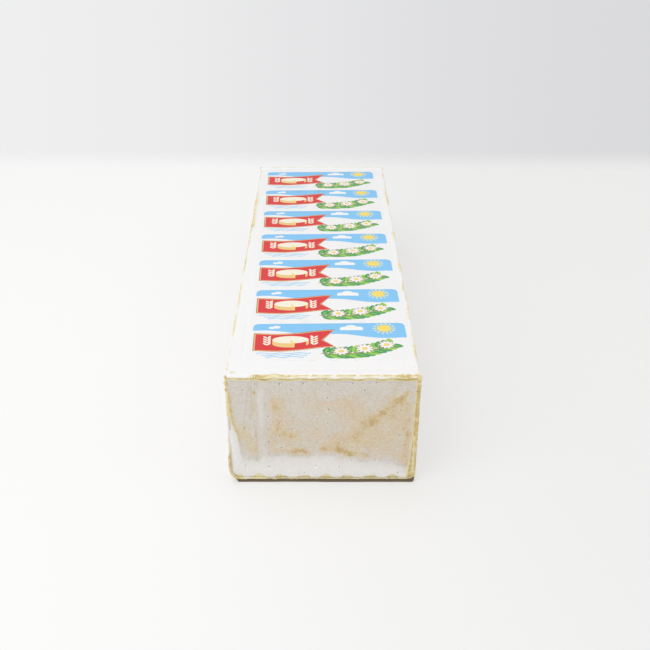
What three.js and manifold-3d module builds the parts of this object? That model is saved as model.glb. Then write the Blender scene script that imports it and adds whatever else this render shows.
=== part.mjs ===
// A soft-ripened cheese log: a long brick of cheese shut in a thin folded film, with one printed
// label strip laid along its top. Millimetres, +Z up. The log lies along Y, its front end faces -Y,
// and the origin is the middle of the face it rests on.
import * as THREE from 'three';
import { mergeVertices } from 'three/addons/utils/BufferGeometryUtils.js';
import Module from 'manifold-3d';

const wasm = await Module();
wasm.setup();

// Driving dimensions of the wrapped log
const LOG_WIDTH = 77;
const LOG_HEIGHT = 50.9;
const LOG_LENGTH = 257;

// The film folded over each end stands this far proud of the plain end under it,
// less on the side of the pleat where it is a single thickness
const FLAP_RISE = 0.8;
const FLAP_THIN_RISE = 0.45;
const FLAP_ROOT = 1;

// Corner radii: the log has slumped on its lower left corner
const TOP_RADIUS = 1.3;
const LOWER_RIGHT_RADIUS = 1.6;
const LOWER_LEFT_RADIUS = 5.6;
const END_RADIUS = 1.4;

// The film's long overlap runs along the top, swings in towards the front end and steps down to its left
const SEAM_X_BACK = -33.2;
const SEAM_X_FRONT = -27;
const SEAM_SWING = 42;
const SEAM_STEP = 0.6;
const SEAM_LEAN = 0.2;

// A second thickness covers the left margin from the front end back to this distance
const MARGIN_COVER = 157;
const MARGIN_RISE = 0.4;
const MARGIN_EDGE = 0.3;

// The folded ends: slanted side tucks under a flap that comes down from the top
const FLAP_TOP_GAP = 0.9;
const FLAP_SIDE_GAP = 0.7;
const FLAP_FOOT = 1.5;
const FLAP_BOW = 0.6;
const FRONT_FOLD = { tuckLeft: 5.2, tuckRight: 2.6, pleatX: -26.5 };
const BACK_FOLD = { tuckLeft: 2.9, tuckRight: 4.7, pleatX: -31.5 };

// The flap's foot is scalloped where the film has stuck to the cheese
const SCALLOP_FIRST_X = -16.2;
const SCALLOP_PITCH = 9.2;
const SCALLOP_WIDTH = 6.4;
const SCALLOP_HEIGHT = 1.7;

// Unevenness of the soft log: waves of three lengths, with a start of their own for each face and edge
const FACE_WAVE = 0.24;
const EDGE_WAVE = 0.35;
const EDGE_WAVE_RATE = 3;
const WAVES = [
  { share: 0.5, rate: 0.071, start: 1 },
  { share: 0.3, rate: 0.193, start: 2.3 },
  { share: 0.2, rate: 0.517, start: 4.1 },
];
const WAVE_START = { top: 0.6, leftSide: 2.4, rightSide: 4.2, leftEdge: 0.9, rightEdge: 5.1 };
const WAVE_START_ALONG = 1.7;

// Crags of dried cheese along the top and upright edges of the ends, sunk into the edge by a share
// of its radius. Each crag's length, depth and turn are drawn from a range.
const CRAG_SPACING = 6.4;
const CRAG_SHIFT = 3.8;
const UPRIGHT_CRAG_SPACING = 6.8;
const CRAG_LENGTHS = [2, 4.8];
const CRAG_DEPTHS = [1, 1.6];
const CRAG_TURN = 0.15;
const CRAG_SINK_Y = 0.25;
const CRAG_SINK_X = 0.45;
const CRAG_SINK_Z = 0.3;
const CRAG_LOWEST = LOG_HEIGHT / 3;
const CRAG_SEED = 11;
const RANDOM_FACTOR = 16807;
const RANDOM_RANGE = 2147483647;

// The label strip, which lies a little askew
const LABEL_WIDTH = 68;
const LABEL_LENGTH = 236;
const LABEL_THICKNESS = 0.3;
const LABEL_GAP = 0.2;
const LABEL_X = 1.15;
const LABEL_Y = 2.2;
const LABEL_TURN = THREE.MathUtils.degToRad(1.05);

// How finely the solids are faceted
const STATION_STEP = 5.5;
const FACE_STEP = 6;
const TOP_STEPS = 13;
const SIDE_STEPS = 8;
const ARC_STEPS = 4;
const END_STEPS = 3;
const LABEL_STEP = 10;
const CURVE_STEPS = 6;
const MERGE_DISTANCE = 1e-4;

const HALF_WIDTH = LOG_WIDTH / 2;
const HALF_BODY = LOG_LENGTH / 2 - FLAP_RISE;

const filmMaterial = new THREE.MeshStandardMaterial({ color: 0xe6e0da, roughness: 0.55, metalness: 0 });
const labelMaterial = new THREE.MeshStandardMaterial({ color: 0xf3f1f4, roughness: 0.5, metalness: 0 });

// Repeatable random numbers between 0 and 1
function seededRandom(seed) {
  let state = seed;
  return () => {
    state = (state * RANDOM_FACTOR) % RANDOM_RANGE;
    return state / RANDOM_RANGE;
  };
}

// A smooth, uneven swing between -1 and 1 along one direction
function swing(place, phase) {
  const heights = WAVES.map(({ share, rate, start }) => share * Math.sin(place * rate + start * phase));
  return heights.reduce((sum, height) => sum + height, 0);
}

// How far a broad face swells or sinks, at two places along it
function faceWave(across, along, phase) {
  return (FACE_WAVE / 2) * (swing(across, phase) + swing(along, phase + WAVE_START_ALONG));
}

// The height of the log's top on the right of the overlap, where the label lies
function topHeight(x, y) {
  return LOG_HEIGHT + faceWave(x, y, WAVE_START.top);
}

// Where the overlap's edge runs across the top at a place along the log
function seamX(y) {
  const share = THREE.MathUtils.smoothstep(y + HALF_BODY, 0, SEAM_SWING);
  return THREE.MathUtils.lerp(SEAM_X_FRONT, SEAM_X_BACK, share);
}

// Places inside a span, evenly spread at about the given spacing, with both of its ends left out
function between(from, to, spacing) {
  return spread(from, to, Math.max(2, Math.round(Math.abs(to - from) / spacing)));
}

// The same for a given number of steps, so that every outline along the log has as many points
function spread(from, to, steps) {
  return Array.from({ length: steps - 1 }, (_, i) => THREE.MathUtils.lerp(from, to, (i + 1) / steps));
}

// The log's outline across its length, walked anticlockwise from its lower left corner.
// cover is how much of the left margin's second thickness is there, from 0 to 1.
function section(y, cover) {
  const outline = [];
  const add = (x, z) => outline.push(new THREE.Vector2(x, z));
  const addCorner = (x, z, radius, startAngle, crag) => {
    for (let i = 0; i <= ARC_STEPS; i += 1) {
      const share = i / ARC_STEPS;
      const angle = startAngle + share * (Math.PI / 2);
      const reach = radius + crag * Math.sin(Math.PI * share);
      add(x + reach * Math.cos(angle), z + reach * Math.sin(angle));
    }
  };
  const seam = seamX(y);
  const marginHeight = (x) => topHeight(x, y) - SEAM_STEP + MARGIN_RISE * cover;
  const rightTop = topHeight(HALF_WIDTH, y) - TOP_RADIUS;
  const leftTop = marginHeight(-HALF_WIDTH) - TOP_RADIUS;
  const floorLeft = LOWER_LEFT_RADIUS - HALF_WIDTH;
  const floorRight = HALF_WIDTH - LOWER_RIGHT_RADIUS;

  const sideX = (z, phase) => HALF_WIDTH + faceWave(z, y, phase);
  const edgeCrag = (phase) => EDGE_WAVE * swing(EDGE_WAVE_RATE * y, phase);

  between(floorLeft, floorRight, FACE_STEP).forEach((x) => add(x, 0));
  addCorner(floorRight, LOWER_RIGHT_RADIUS, LOWER_RIGHT_RADIUS, -Math.PI / 2, 0);
  spread(LOWER_RIGHT_RADIUS, rightTop, SIDE_STEPS).forEach((z) => add(sideX(z, WAVE_START.rightSide), z));
  addCorner(HALF_WIDTH - TOP_RADIUS, rightTop, TOP_RADIUS, 0, edgeCrag(WAVE_START.rightEdge));
  spread(HALF_WIDTH - TOP_RADIUS, seam, TOP_STEPS).forEach((x) => add(x, topHeight(x, y)));
  add(seam, topHeight(seam, y));
  add(seam - SEAM_LEAN, marginHeight(seam));
  addCorner(TOP_RADIUS - HALF_WIDTH, leftTop, TOP_RADIUS, Math.PI / 2, edgeCrag(WAVE_START.leftEdge));
  spread(leftTop, LOWER_LEFT_RADIUS, SIDE_STEPS).forEach((z) => add(-sideX(z, WAVE_START.leftSide), z));
  addCorner(floorLeft, LOWER_LEFT_RADIUS, LOWER_LEFT_RADIUS, Math.PI, 0);
  return outline;
}

// The outline drawn in towards the middle of the section, for the rounded edge of an end
function drawnIn(outline, inset) {
  const middle = LOG_HEIGHT / 2;
  const shrinkX = 1 - inset / HALF_WIDTH;
  const shrinkZ = 1 - inset / middle;
  return outline.map((p) => new THREE.Vector2(p.x * shrinkX, middle + (p.y - middle) * shrinkZ));
}

// Every outline along the log, from its front end to its back end
function stations() {
  const straight = HALF_BODY - END_RADIUS;
  const coverEnd = MARGIN_COVER - LOG_LENGTH / 2;
  const rings = [];
  const addEnd = (side) => {
    for (let i = END_STEPS; i > 0; i -= 1) {
      const angle = (Math.PI / 2) * (i / END_STEPS);
      const y = side * (straight + END_RADIUS * Math.sin(angle));
      const cover = side < 0 ? 1 : 0;
      rings.push({ y, outline: drawnIn(section(y, cover), END_RADIUS * (1 - Math.cos(angle))) });
    }
  };
  addEnd(-1);
  const places = [-straight, ...between(-straight, coverEnd, STATION_STEP), coverEnd];
  places.forEach((y) => rings.push({ y, outline: section(y, 1) }));
  const bareFrom = coverEnd + MARGIN_EDGE;
  const bare = [bareFrom, ...between(bareFrom, straight, STATION_STEP), straight];
  bare.forEach((y) => rings.push({ y, outline: section(y, 0) }));
  const atFront = rings.length;
  addEnd(1);
  rings.push(...rings.splice(atFront).reverse());
  return rings;
}

// A closed skin over the outlines, each end shut by a fan about its middle
function logBody() {
  const rings = stations();
  const count = rings[0].outline.length;
  const positions = [];
  const triangles = [];
  rings.forEach(({ y, outline }) => outline.forEach((p) => positions.push(p.x, y, p.y)));
  for (let r = 0; r < rings.length - 1; r += 1) {
    for (let i = 0; i < count; i += 1) {
      const a = r * count + i;
      const b = r * count + ((i + 1) % count);
      triangles.push(a, b + count, b, a, a + count, b + count);
    }
  }
  const closeEnd = (ring, facesBack) => {
    const hub = positions.length / 3;
    positions.push(0, rings[ring].y, LOG_HEIGHT / 2);
    for (let i = 0; i < count; i += 1) {
      const a = ring * count + i;
      const b = ring * count + ((i + 1) % count);
      triangles.push(...(facesBack ? [hub, b, a] : [hub, a, b]));
    }
  };
  closeEnd(0, false);
  closeEnd(rings.length - 1, true);
  const geometry = new THREE.BufferGeometry();
  geometry.setAttribute('position', new THREE.Float32BufferAttribute(positions, 3));
  geometry.setIndex(triangles);
  return geometry;
}

// The flap on the thick side of the pleat, with a scalloped foot. x is across the log and y is up.
function thickFlapShape({ tuckRight, pleatX }) {
  const top = LOG_HEIGHT - FLAP_TOP_GAP;
  const footRight = HALF_WIDTH - tuckRight;
  const reach = SCALLOP_WIDTH / 2;
  const crown = FLAP_FOOT + 2 * SCALLOP_HEIGHT;
  const shape = new THREE.Shape();
  shape.moveTo(pleatX, FLAP_FOOT);
  for (let x = SCALLOP_FIRST_X; x + reach < footRight; x += SCALLOP_PITCH) {
    shape.lineTo(x - reach, FLAP_FOOT);
    shape.quadraticCurveTo(x, crown, x + reach, FLAP_FOOT);
  }
  shape.lineTo(footRight, FLAP_FOOT);
  shape.quadraticCurveTo(footRight + FLAP_BOW, top / 2, HALF_WIDTH - FLAP_SIDE_GAP, top);
  shape.lineTo(pleatX, top);
  shape.closePath();
  return shape;
}

// The flap on the thin side of the pleat, down to its slanted left tuck
function thinFlapShape({ tuckLeft, pleatX }) {
  const top = LOG_HEIGHT - FLAP_TOP_GAP;
  const footLeft = tuckLeft - HALF_WIDTH;
  const shape = new THREE.Shape();
  shape.moveTo(footLeft, FLAP_FOOT);
  shape.lineTo(pleatX, FLAP_FOOT);
  shape.lineTo(pleatX, top);
  shape.lineTo(FLAP_SIDE_GAP - HALF_WIDTH, top);
  shape.quadraticCurveTo(footLeft - 2 * FLAP_BOW, top / 2, footLeft, FLAP_FOOT);
  return shape;
}

// A flap as a plate that stands proud of one end of the log and roots into it.
// side is -1 in front and 1 behind.
function flapPlate(shape, rise, side) {
  const depth = rise + FLAP_ROOT;
  const settings = { depth, bevelEnabled: false, curveSegments: CURVE_STEPS };
  const geometry = new THREE.ExtrudeGeometry(shape, settings);
  geometry.rotateX(Math.PI / 2);
  const outerFace = HALF_BODY + rise;
  geometry.translate(0, side < 0 ? depth - outerFace : outerFace, 0);
  return geometry;
}

// One crag of dried cheese, an uneven pebble
function crag(x, y, z, length, depth, turn) {
  const geometry = new THREE.IcosahedronGeometry(1, 1);
  geometry.scale(length / 2, depth / 2, depth / 2);
  geometry.rotateY(turn);
  geometry.translate(x, y, z);
  return geometry;
}

// Crags along the top edge and down both upright edges of one end
function endCrags(side, random) {
  const edgeY = side * (HALF_BODY - END_RADIUS * CRAG_SINK_Y);
  const topZ = LOG_HEIGHT - END_RADIUS * CRAG_SINK_Z;
  const crags = [];
  const draw = (low, high) => THREE.MathUtils.lerp(low, high, random());
  const drawSize = () => [draw(...CRAG_LENGTHS), draw(...CRAG_DEPTHS)];
  const drawTurn = () => draw(-CRAG_TURN, CRAG_TURN);
  between(-HALF_WIDTH, HALF_WIDTH, CRAG_SPACING).forEach((x) => {
    const shift = draw(-CRAG_SHIFT / 2, CRAG_SHIFT / 2);
    crags.push(crag(x + shift, edgeY, topZ, ...drawSize(), drawTurn()));
  });
  [-1, 1].forEach((flank) => {
    const edgeX = flank * (HALF_WIDTH - END_RADIUS * CRAG_SINK_X);
    between(CRAG_LOWEST, LOG_HEIGHT, UPRIGHT_CRAG_SPACING).forEach((z) => {
      crags.push(crag(edgeX, edgeY, z, ...drawSize(), Math.PI / 2 + drawTurn()));
    });
  });
  return crags;
}

// A closed geometry as a solid that can be joined to others
function toSolid(geometry) {
  const bare = new THREE.BufferGeometry();
  bare.setAttribute('position', geometry.getAttribute('position'));
  if (geometry.index) bare.setIndex(geometry.index);
  const merged = mergeVertices(bare, MERGE_DISTANCE);
  const vertProperties = new Float32Array(merged.getAttribute('position').array);
  const triVerts = new Uint32Array(merged.index.array);
  return new wasm.Manifold(new wasm.Mesh({ numProp: 3, vertProperties, triVerts }));
}

function toGeometry(solid) {
  const mesh = solid.getMesh();
  const geometry = new THREE.BufferGeometry();
  geometry.setAttribute('position', new THREE.Float32BufferAttribute(mesh.vertProperties, 3));
  geometry.setIndex(new THREE.BufferAttribute(mesh.triVerts, 1));
  geometry.computeVertexNormals();
  return geometry;
}

// The wrapped log: the body with the folded flaps and the crags of both ends joined to it
function wrappedLog() {
  const random = seededRandom(CRAG_SEED);
  const pieces = [[-1, FRONT_FOLD], [1, BACK_FOLD]].flatMap(([side, fold]) => [
    flapPlate(thickFlapShape(fold), FLAP_RISE, side),
    flapPlate(thinFlapShape(fold), FLAP_THIN_RISE, side),
    ...endCrags(side, random),
  ]);
  const joined = pieces.reduce((solid, piece) => solid.add(toSolid(piece)), toSolid(logBody()));
  const mesh = new THREE.Mesh(toGeometry(joined), filmMaterial);
  mesh.name = 'wrapped_log';
  return mesh;
}

// The label strip: a thin sheet that follows the log's top just above it
function labelStrip() {
  const across = Math.round(LABEL_WIDTH / LABEL_STEP);
  const along = Math.round(LABEL_LENGTH / LABEL_STEP);
  const geometry = new THREE.BoxGeometry(LABEL_WIDTH, LABEL_LENGTH, LABEL_THICKNESS, across, along, 1);
  const mesh = new THREE.Mesh(geometry, labelMaterial);
  mesh.name = 'label_strip';
  mesh.position.set(LABEL_X, LABEL_Y, LOG_HEIGHT + LABEL_GAP + LABEL_THICKNESS / 2);
  mesh.rotation.z = LABEL_TURN;
  mesh.updateMatrix();
  const place = geometry.getAttribute('position');
  const onLog = new THREE.Vector3();
  for (let i = 0; i < place.count; i += 1) {
    onLog.fromBufferAttribute(place, i).applyMatrix4(mesh.matrix);
    place.setZ(i, place.getZ(i) + topHeight(onLog.x, onLog.y) - LOG_HEIGHT);
  }
  geometry.computeVertexNormals();
  return mesh;
}

const cheeseLog = new THREE.Group();
cheeseLog.name = 'soft_cheese_log';
cheeseLog.add(wrappedLog(), labelStrip());

export default cheeseLog;
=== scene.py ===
"""A soft-ripened cheese log shut in thin pin-pricked film, with a printed label strip along its top.

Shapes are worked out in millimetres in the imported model's frame: the log lies along Y, its front end
faces -Y, and it rests on the floor at height zero. They become metres where a piece is made.
"""

import math

import bmesh
import bpy
import numpy as np
from mathutils import Matrix, Vector, noise
from mathutils.bvhtree import BVHTree
from mathutils.geometry import delaunay_2d_cdt


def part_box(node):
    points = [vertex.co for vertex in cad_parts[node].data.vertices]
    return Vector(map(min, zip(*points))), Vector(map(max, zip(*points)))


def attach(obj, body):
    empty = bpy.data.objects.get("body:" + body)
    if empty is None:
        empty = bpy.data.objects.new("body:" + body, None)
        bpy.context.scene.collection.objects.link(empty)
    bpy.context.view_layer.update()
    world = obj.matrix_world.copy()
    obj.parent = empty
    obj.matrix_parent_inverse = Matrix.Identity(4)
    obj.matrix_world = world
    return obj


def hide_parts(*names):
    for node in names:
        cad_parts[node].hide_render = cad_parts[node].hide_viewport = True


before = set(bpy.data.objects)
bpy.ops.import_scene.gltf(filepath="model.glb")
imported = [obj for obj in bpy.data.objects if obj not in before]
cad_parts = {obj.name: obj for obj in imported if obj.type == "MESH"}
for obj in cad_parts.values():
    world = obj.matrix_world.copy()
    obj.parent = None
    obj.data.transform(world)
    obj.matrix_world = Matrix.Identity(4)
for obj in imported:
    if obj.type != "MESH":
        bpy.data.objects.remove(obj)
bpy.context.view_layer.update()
log_low, log_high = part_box("wrapped_log")
label_low, label_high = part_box("label_strip")

MM = 0.001
SEED = 7

# The plain brick inside the solid: its unevenness stands this far out of it at the sides and on top
SIDE_SWELL = 0.167
TOP_SWELL = 0.369
FLAP_RISE = 0.8
HALF_WIDTH = (log_high.x - log_low.x) / 2 / MM - SIDE_SWELL
LOG_HEIGHT = log_high.z / MM - TOP_SWELL
HALF_LENGTH = (log_high.y - log_low.y) / 2 / MM
HALF_BODY = HALF_LENGTH - FLAP_RISE

# Corner radii: the log has slumped on its lower left corner
TOP_RADIUS = 1.3
LOWER_RIGHT_RADIUS = 1.6
LOWER_LEFT_RADIUS = 3.8
END_RADIUS = 1.4
# 2 makes a corner an arc, and 1 a straight bevel
ARC_POWER = 2.0
SLUMP_POWER = 1.2

# The film's long overlap on the top steps down to its left, and swings in towards the front end
SEAM_X_BACK = -35.4
SEAM_X_FRONT = -33.4
SEAM_SWING = 42.0
SEAM_STEP = 0.4
SEAM_LEAN = 0.5

# A second thickness covers the left margin from the front end back to this distance
MARGIN_COVER = 157.0
MARGIN_RISE = 0.26
MARGIN_END_Y = MARGIN_COVER - HALF_LENGTH
BARE_MARGIN = 1.9

# The mesh of the wrapped log: spacing of its lines, and how much closer they are by the edges
LINE_STEP = 1.25
EDGE_BAND = 5.0
EDGE_LINE_STEP = 0.45
END_ARC_STEPS = 5

# Unevenness of the soft log and of its clinging film. A swing sums waves of (share, rate, turn of phase).
FACE_WAVE = 0.24
SWING_WAVES = [(0.5, 0.071, 1.0), (0.3, 0.193, 2.3), (0.2, 0.517, 4.1)]
TOP_PHASE = 0.6
LEFT_PHASE = 2.4
RIGHT_PHASE = 4.2
CRINKLE_DEPTH = 0.09
CRAG_DEPTH = 0.26
EDGE_WAVE = 0.35
# Grooves in the film on the top, round the pads before the label and beside the label, darkened a little
# with painted shade
GROOVE_DEPTH = 0.2
GROOVE_WIDTH = 0.9
GROOVE_SHADE = 0.03
GROOVE_BEHIND = 4.4
PADS_END = (12, 15)
LABEL_GROOVE_X = -33.4
LABEL_GROOVE_START = (-117, -112)
LABEL_GROOVE_END = (-84, -78)
# Film that is nowhere quite clean, above a cleaner band along the foot
FILM_DULL = 0.17
BAND_DULL = 0.07
BAND_BLEND = (-1.9, 2.3)
DULL_BLEND = (-5.0, 8.0)
# Damp on the long sides
SIDE_BAND = 11.5
SIDE_DRIFT = 3.5
SIDE_DULL = 0.14
SIDE_BLEND = (-2.6, 5.0)
SIDE_TOP_FADE = (1.0, 4.5)
SIDE_CLOUD = 0.3
SIDE_STREAK = 0.42
# Rind along the log's edges, as (strength, reach)
SIDE_END_RIND = (0.5, 0.9)
LOW_SIDE_RIND = (0.55, 1.6)
TOP_LEFT_RIND = (1.0, 0.9)
TOP_RIGHT_RIND = (0.7, 1.6)
FOOT_RIND = (0.36, 2.2)
FAR_MARGIN_RIND = 0.3
# Specks of dried rind on the top, as (x, y, size, strength)
TOP_SPECKS = [(-36.1, -124.8, 0.45, 0.8), (36.4, -121.2, 0.4, 0.3)]

# The gap under the lip of film along the foot of each end, and the strength of the painted shade in it at
# the front and the back
FOOT_GAP = 1.4
FRONT_GAP_SHADE = 1.5
BACK_GAP_SHADE = 0.8

# The folded ends
THICK_RISE = 0.46
THIN_RISE = 0.28
FLAP_SINK = 0.18
FLAP_BACK = 0.8
FLAP_TOP = LOG_HEIGHT - 0.7
FLAP_TOP_FADE = (0.7, 2.6)
FLAP_FOOT = 1.75
FLAP_STEP = 0.5
FLAP_EDGE_ROUND = 0.45
PLEAT_RIDGE = 0.2
PLEAT_RIDGE_IN = 1.9
PLEAT_RIDGE_WIDTH = 1.4
UNDERLAP = 3.0
TUCK_RISE = 0.12
TUCK_INSET = 0.5
TUCK_UNDERLAP = 1.2
TUCK_COLUMNS = 19
# Heights over which parts of the flaps start or end
PLEAT_START = (6, 14)
PLEAT_RIDGE_END = (38, 46)
PLEAT_SHADE_END = (36, 46)
VALLEY_START = (9, 14)
PLEAT_HIGHLIGHT_START = (9, 16)
PLEAT_HIGHLIGHT_END = (42, 49)
LOW_EDGE_END = (4, 13)
TAN_BAND_START = (18, 27)
TAN_BAND_END = (42, 47)
# Creases that spread from the pleat's top, with painted shade in their valleys, and the scallops along a
# flap's foot
CREASE_SHADE = 0.7
CREASE_DEPTH = 0.35
CREASE_RATE = 26.0
SCALLOP_FIRST_X = -26.2
SCALLOP_PITCH = 9.18
SCALLOP_WIDTH = 5.2
SCALLOP_HEIGHT = 1.45

# Film gathered over the end edges
GATHER_STEP = 0.25
GATHER_REACH = 4.2
GATHER_SINK = 0.3
GATHER_TAPER = 1.2
GATHER_RADIUS = 0.6
GATHER_OUT = 0.4
UPRIGHT_SHORT = 0.9
NUB_FIRST_X = -13.9
NUB_PITCH = 9.25

# Pin pricks through the film, in staggered rows
PRICK_PITCH = 9.68
PRICK_ROW = 3.06
PRICK_RADIUS = 0.55
PRICK_FIRST_X = -2.7
PRICK_FIRST_Z = 44.5
PRICK_ROWS_BELOW = 13
PRICKS_LEFT = 4
PRICKS_AHEAD = 13
PRICK_INSET = 3
PRICK_TOP_INSET = 2.5
PRICK_START_OUT = 9
PRICK_JITTER = 0.2
# Shares of the pricks: fewer look dark where the film is less damp than PALE_DAMP
PRICKS_MISSING = 0.15
PRICKS_DARK = 0.9
PALE_PRICKS_DARK = 0.45
PALE_DAMP = 0.1
PRICKS_WITH_HIGHLIGHT = 0.65
# How far a raised speck of clean white film, a painted highlight, is beside and below its prick
HIGHLIGHT_ASIDE = 0.5
HIGHLIGHT_BELOW = 0.35

# The label strip, printed with the same picture for each portion
PORTIONS = 7
LABEL_TURN = math.radians(1.05)
LABEL_PAPER = 0.12
LABEL_LIFT = 0.17
LABEL_RIM_DROP = 0.1
LABEL_RIM_REACH = 1.5
LABEL_RUMPLE = 0.04
LABEL_RUMPLE_SIZE = 14
LABEL_GRID = 4.0


def paint(*channels):
    """A colour as it is seen on screen, from 0 to 255, turned into the light values that shaders use."""
    shares = [channel / 255 for channel in channels]
    light = [share / 12.92 if share <= 0.04045 else ((share + 0.055) / 1.055) ** 2.4 for share in shares]
    return (*light, 1.0)


CLEAN_FILM = paint(252, 251, 251)
GREY_FILM = paint(235, 231, 226)
DULL_FILM = paint(223, 217, 209)
DAMP_TAN = paint(224, 210, 181)
DAMP_ROSE = paint(225, 206, 178)
DAMP_OCHRE = paint(216, 189, 142)
DAMP_BROWN = paint(201, 175, 126)
RIND_YELLOW = paint(240, 229, 182)
RIND_OCHRE = paint(215, 191, 129)
# Dark rind, which is also the colour of the painted shade in the gap under each foot
DARK_RIND_AND_GAP_SHADE = paint(108, 95, 72)
PRICK_BROWN = paint(136, 116, 102)
INKS = {
    "paper": paint(249, 248, 248),
    "sky": paint(134, 204, 250),
    "sun": paint(252, 226, 110),
    "ray": paint(252, 240, 176),
    "leaf": paint(160, 212, 84),
    "dark_leaf": paint(72, 160, 92),
    "petal": paint(252, 251, 250),
    "blush": paint(228, 160, 156),
    "wine": paint(150, 44, 46),
    "gold": paint(244, 206, 132),
    "red": paint(226, 50, 52),
    "cream": paint(253, 246, 226),
    "water": paint(150, 212, 248),
}


# Shape helpers

def smooth_step(value, low, high):
    """0 up to low, rising smoothly to 1 at high."""
    share = np.clip((np.asarray(value, float) - low) / (high - low), 0, 1)
    return share * share * (3 - 2 * share)


def step_down(value, low, high):
    """1 up to low, falling smoothly to 0 at high."""
    return smooth_step(-value, -high, -low)


def fall(distance, reach):
    """1 at no distance, dying away to almost nothing past twice the reach."""
    return np.exp(-(np.asarray(distance, float) / reach) ** 2)


def repeated(place, first, pitch, reach):
    """Soft bumps at a steady pitch."""
    away = np.mod(place - first + pitch / 2, pitch) - pitch / 2
    return fall(away, reach)


def rumple(points, size, seed):
    """Smooth noise between about -1 and 1, with lumps of one size in millimetres, or one for each axis."""
    shift = np.array((17.3, 5.7, 11.1)) * seed
    points = np.asarray(points, float)
    places = points.reshape(-1, 3) / np.asarray(size, float) + shift
    values = np.array([noise.noise(Vector(place)) for place in places])
    return values.reshape(points.shape[:-1])


def swing(place, phase):
    """A smooth, uneven swing between -1 and 1 along one direction."""
    return sum(share * np.sin(rate * place + turn * phase) for share, rate, turn in SWING_WAVES)


def face_wave(across, along, phase):
    """How far a broad face swells or sinks, at two places along it."""
    return FACE_WAVE * 0.5 * (swing(across, phase) + swing(along, phase + 1.7))


def top_height(x, y):
    return LOG_HEIGHT + face_wave(x, y, TOP_PHASE)


def end_swell(x, z, side):
    """How far an end of the log bulges out, with side -1 in front and 1 behind."""
    return FACE_WAVE * 0.6 * (swing(x, 1.1 + side) + swing(2 * z, 2.9 - side))


def swell_at(points, out):
    """How far the soft log swells at points of its surface, given the ways out there."""
    x, y, z = np.moveaxis(points, -1, 0)
    out_x, out_y, out_z = np.moveaxis(out, -1, 0)
    swell = np.clip(out_z, 0, 1) * face_wave(x, y, TOP_PHASE)
    swell = swell + np.clip(-out_x, 0, 1) * face_wave(z, y, LEFT_PHASE)
    swell = swell + np.clip(out_x, 0, 1) * face_wave(z, y, RIGHT_PHASE)
    for side in (-1, 1):
        swell = swell + np.clip(side * out_y, 0, 1) * end_swell(x, z, side)
    return swell


def seam_x(y):
    return SEAM_X_FRONT + (SEAM_X_BACK - SEAM_X_FRONT) * smooth_step(y + HALF_BODY, 0, SEAM_SWING)


def make_piece(name, points, faces, materials, inks=None, marks=None, sharp_past=None):
    """A closed mesh from points in millimetres. It rides on the part's only body."""
    mesh = bpy.data.meshes.new(name)
    corners = (np.asarray(points, float) * MM).tolist()
    mesh.from_pydata(corners, [], [[int(corner) for corner in face] for face in faces])
    for material in materials:
        mesh.materials.append(material)
    if inks is not None:
        mesh.polygons.foreach_set("material_index", np.asarray(inks, np.int32))
    for mark, values in (marks or {}).items():
        attribute = mesh.attributes.new(mark, "FLOAT", "POINT")
        attribute.data.foreach_set("value", np.asarray(values, np.float32))
    shaped = bmesh.new()
    shaped.from_mesh(mesh)
    bmesh.ops.recalc_face_normals(shaped, faces=shaped.faces)
    shaped.to_mesh(mesh)
    shaped.free()
    mesh.shade_smooth()
    if sharp_past is not None:
        mesh.set_sharp_from_angle(angle=sharp_past)
    piece = bpy.data.objects.new(name, mesh)
    bpy.context.scene.collection.objects.link(piece)
    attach(piece, "root")
    return piece


def grid_faces(rows, columns, first=0):
    corner = first + np.arange(rows * columns).reshape(rows, columns)
    quads = [corner[:-1, :-1], corner[:-1, 1:], corner[1:, 1:], corner[1:, :-1]]
    return np.stack(quads, axis=-1).reshape(-1, 4)


def closed_sheet(front, back):
    """Two grids of points, one behind the other, joined round their rims."""
    rows, columns = front.shape[:2]
    count = rows * columns
    corner = np.arange(count).reshape(rows, columns)
    rim = np.concatenate([corner[0, :-1], corner[:-1, -1], corner[-1, :0:-1], corner[:0:-1, 0]])
    ahead = np.roll(rim, -1)
    wall = np.stack([rim, ahead, ahead + count, rim + count], axis=1)
    points = np.concatenate([front.reshape(-1, 3), back.reshape(-1, 3)])
    return points, np.concatenate([grid_faces(rows, columns), grid_faces(rows, columns, count), wall])


def film_sheet(name, front, back, damp, rind):
    """A sheet of film with its marks, the same on both of its sides."""
    points, faces = closed_sheet(front, back)
    marks = {"damp": np.tile(np.ravel(damp), 2), "rind": np.tile(np.ravel(rind), 2)}
    return make_piece(name, points, faces, [film], marks=marks)


# Shader helpers

def fill(tree, node, **sockets):
    """Sets a node's sockets by name or number, or links them where a socket of another node is given."""
    for name, value in sockets.items():
        socket = node.inputs[int(name[1:])] if name[0] == "_" else node.inputs[name.replace("_", " ")]
        if isinstance(value, bpy.types.NodeSocket):
            tree.links.new(value, socket)
        else:
            socket.default_value = value


def add_node(tree, kind, settings=None, **sockets):
    """A shader node with its settings and its sockets filled."""
    node = tree.nodes.new(kind)
    for setting, value in (settings or {}).items():
        setattr(node, setting, value)
    fill(tree, node, **sockets)
    return node


def own_place(tree):
    """Places in a piece's own frame, in metres."""
    return add_node(tree, "ShaderNodeTexCoord").outputs["Object"]


def new_group(name, inputs, outputs):
    """A shader node group with named value inputs and outputs. Gives its tree and its two end nodes."""
    tree = bpy.data.node_groups.new(name, "ShaderNodeTree")
    for socket in inputs:
        tree.interface.new_socket(socket, in_out="INPUT", socket_type="NodeSocketFloat")
    for socket in outputs:
        tree.interface.new_socket(socket, in_out="OUTPUT", socket_type="NodeSocketFloat")
    return tree, tree.nodes.new("NodeGroupInput"), tree.nodes.new("NodeGroupOutput")


def math_node(tree, operation, first, second):
    return add_node(tree, "ShaderNodeMath", {"operation": operation}, _0=first, _1=second).outputs[0]


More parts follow.
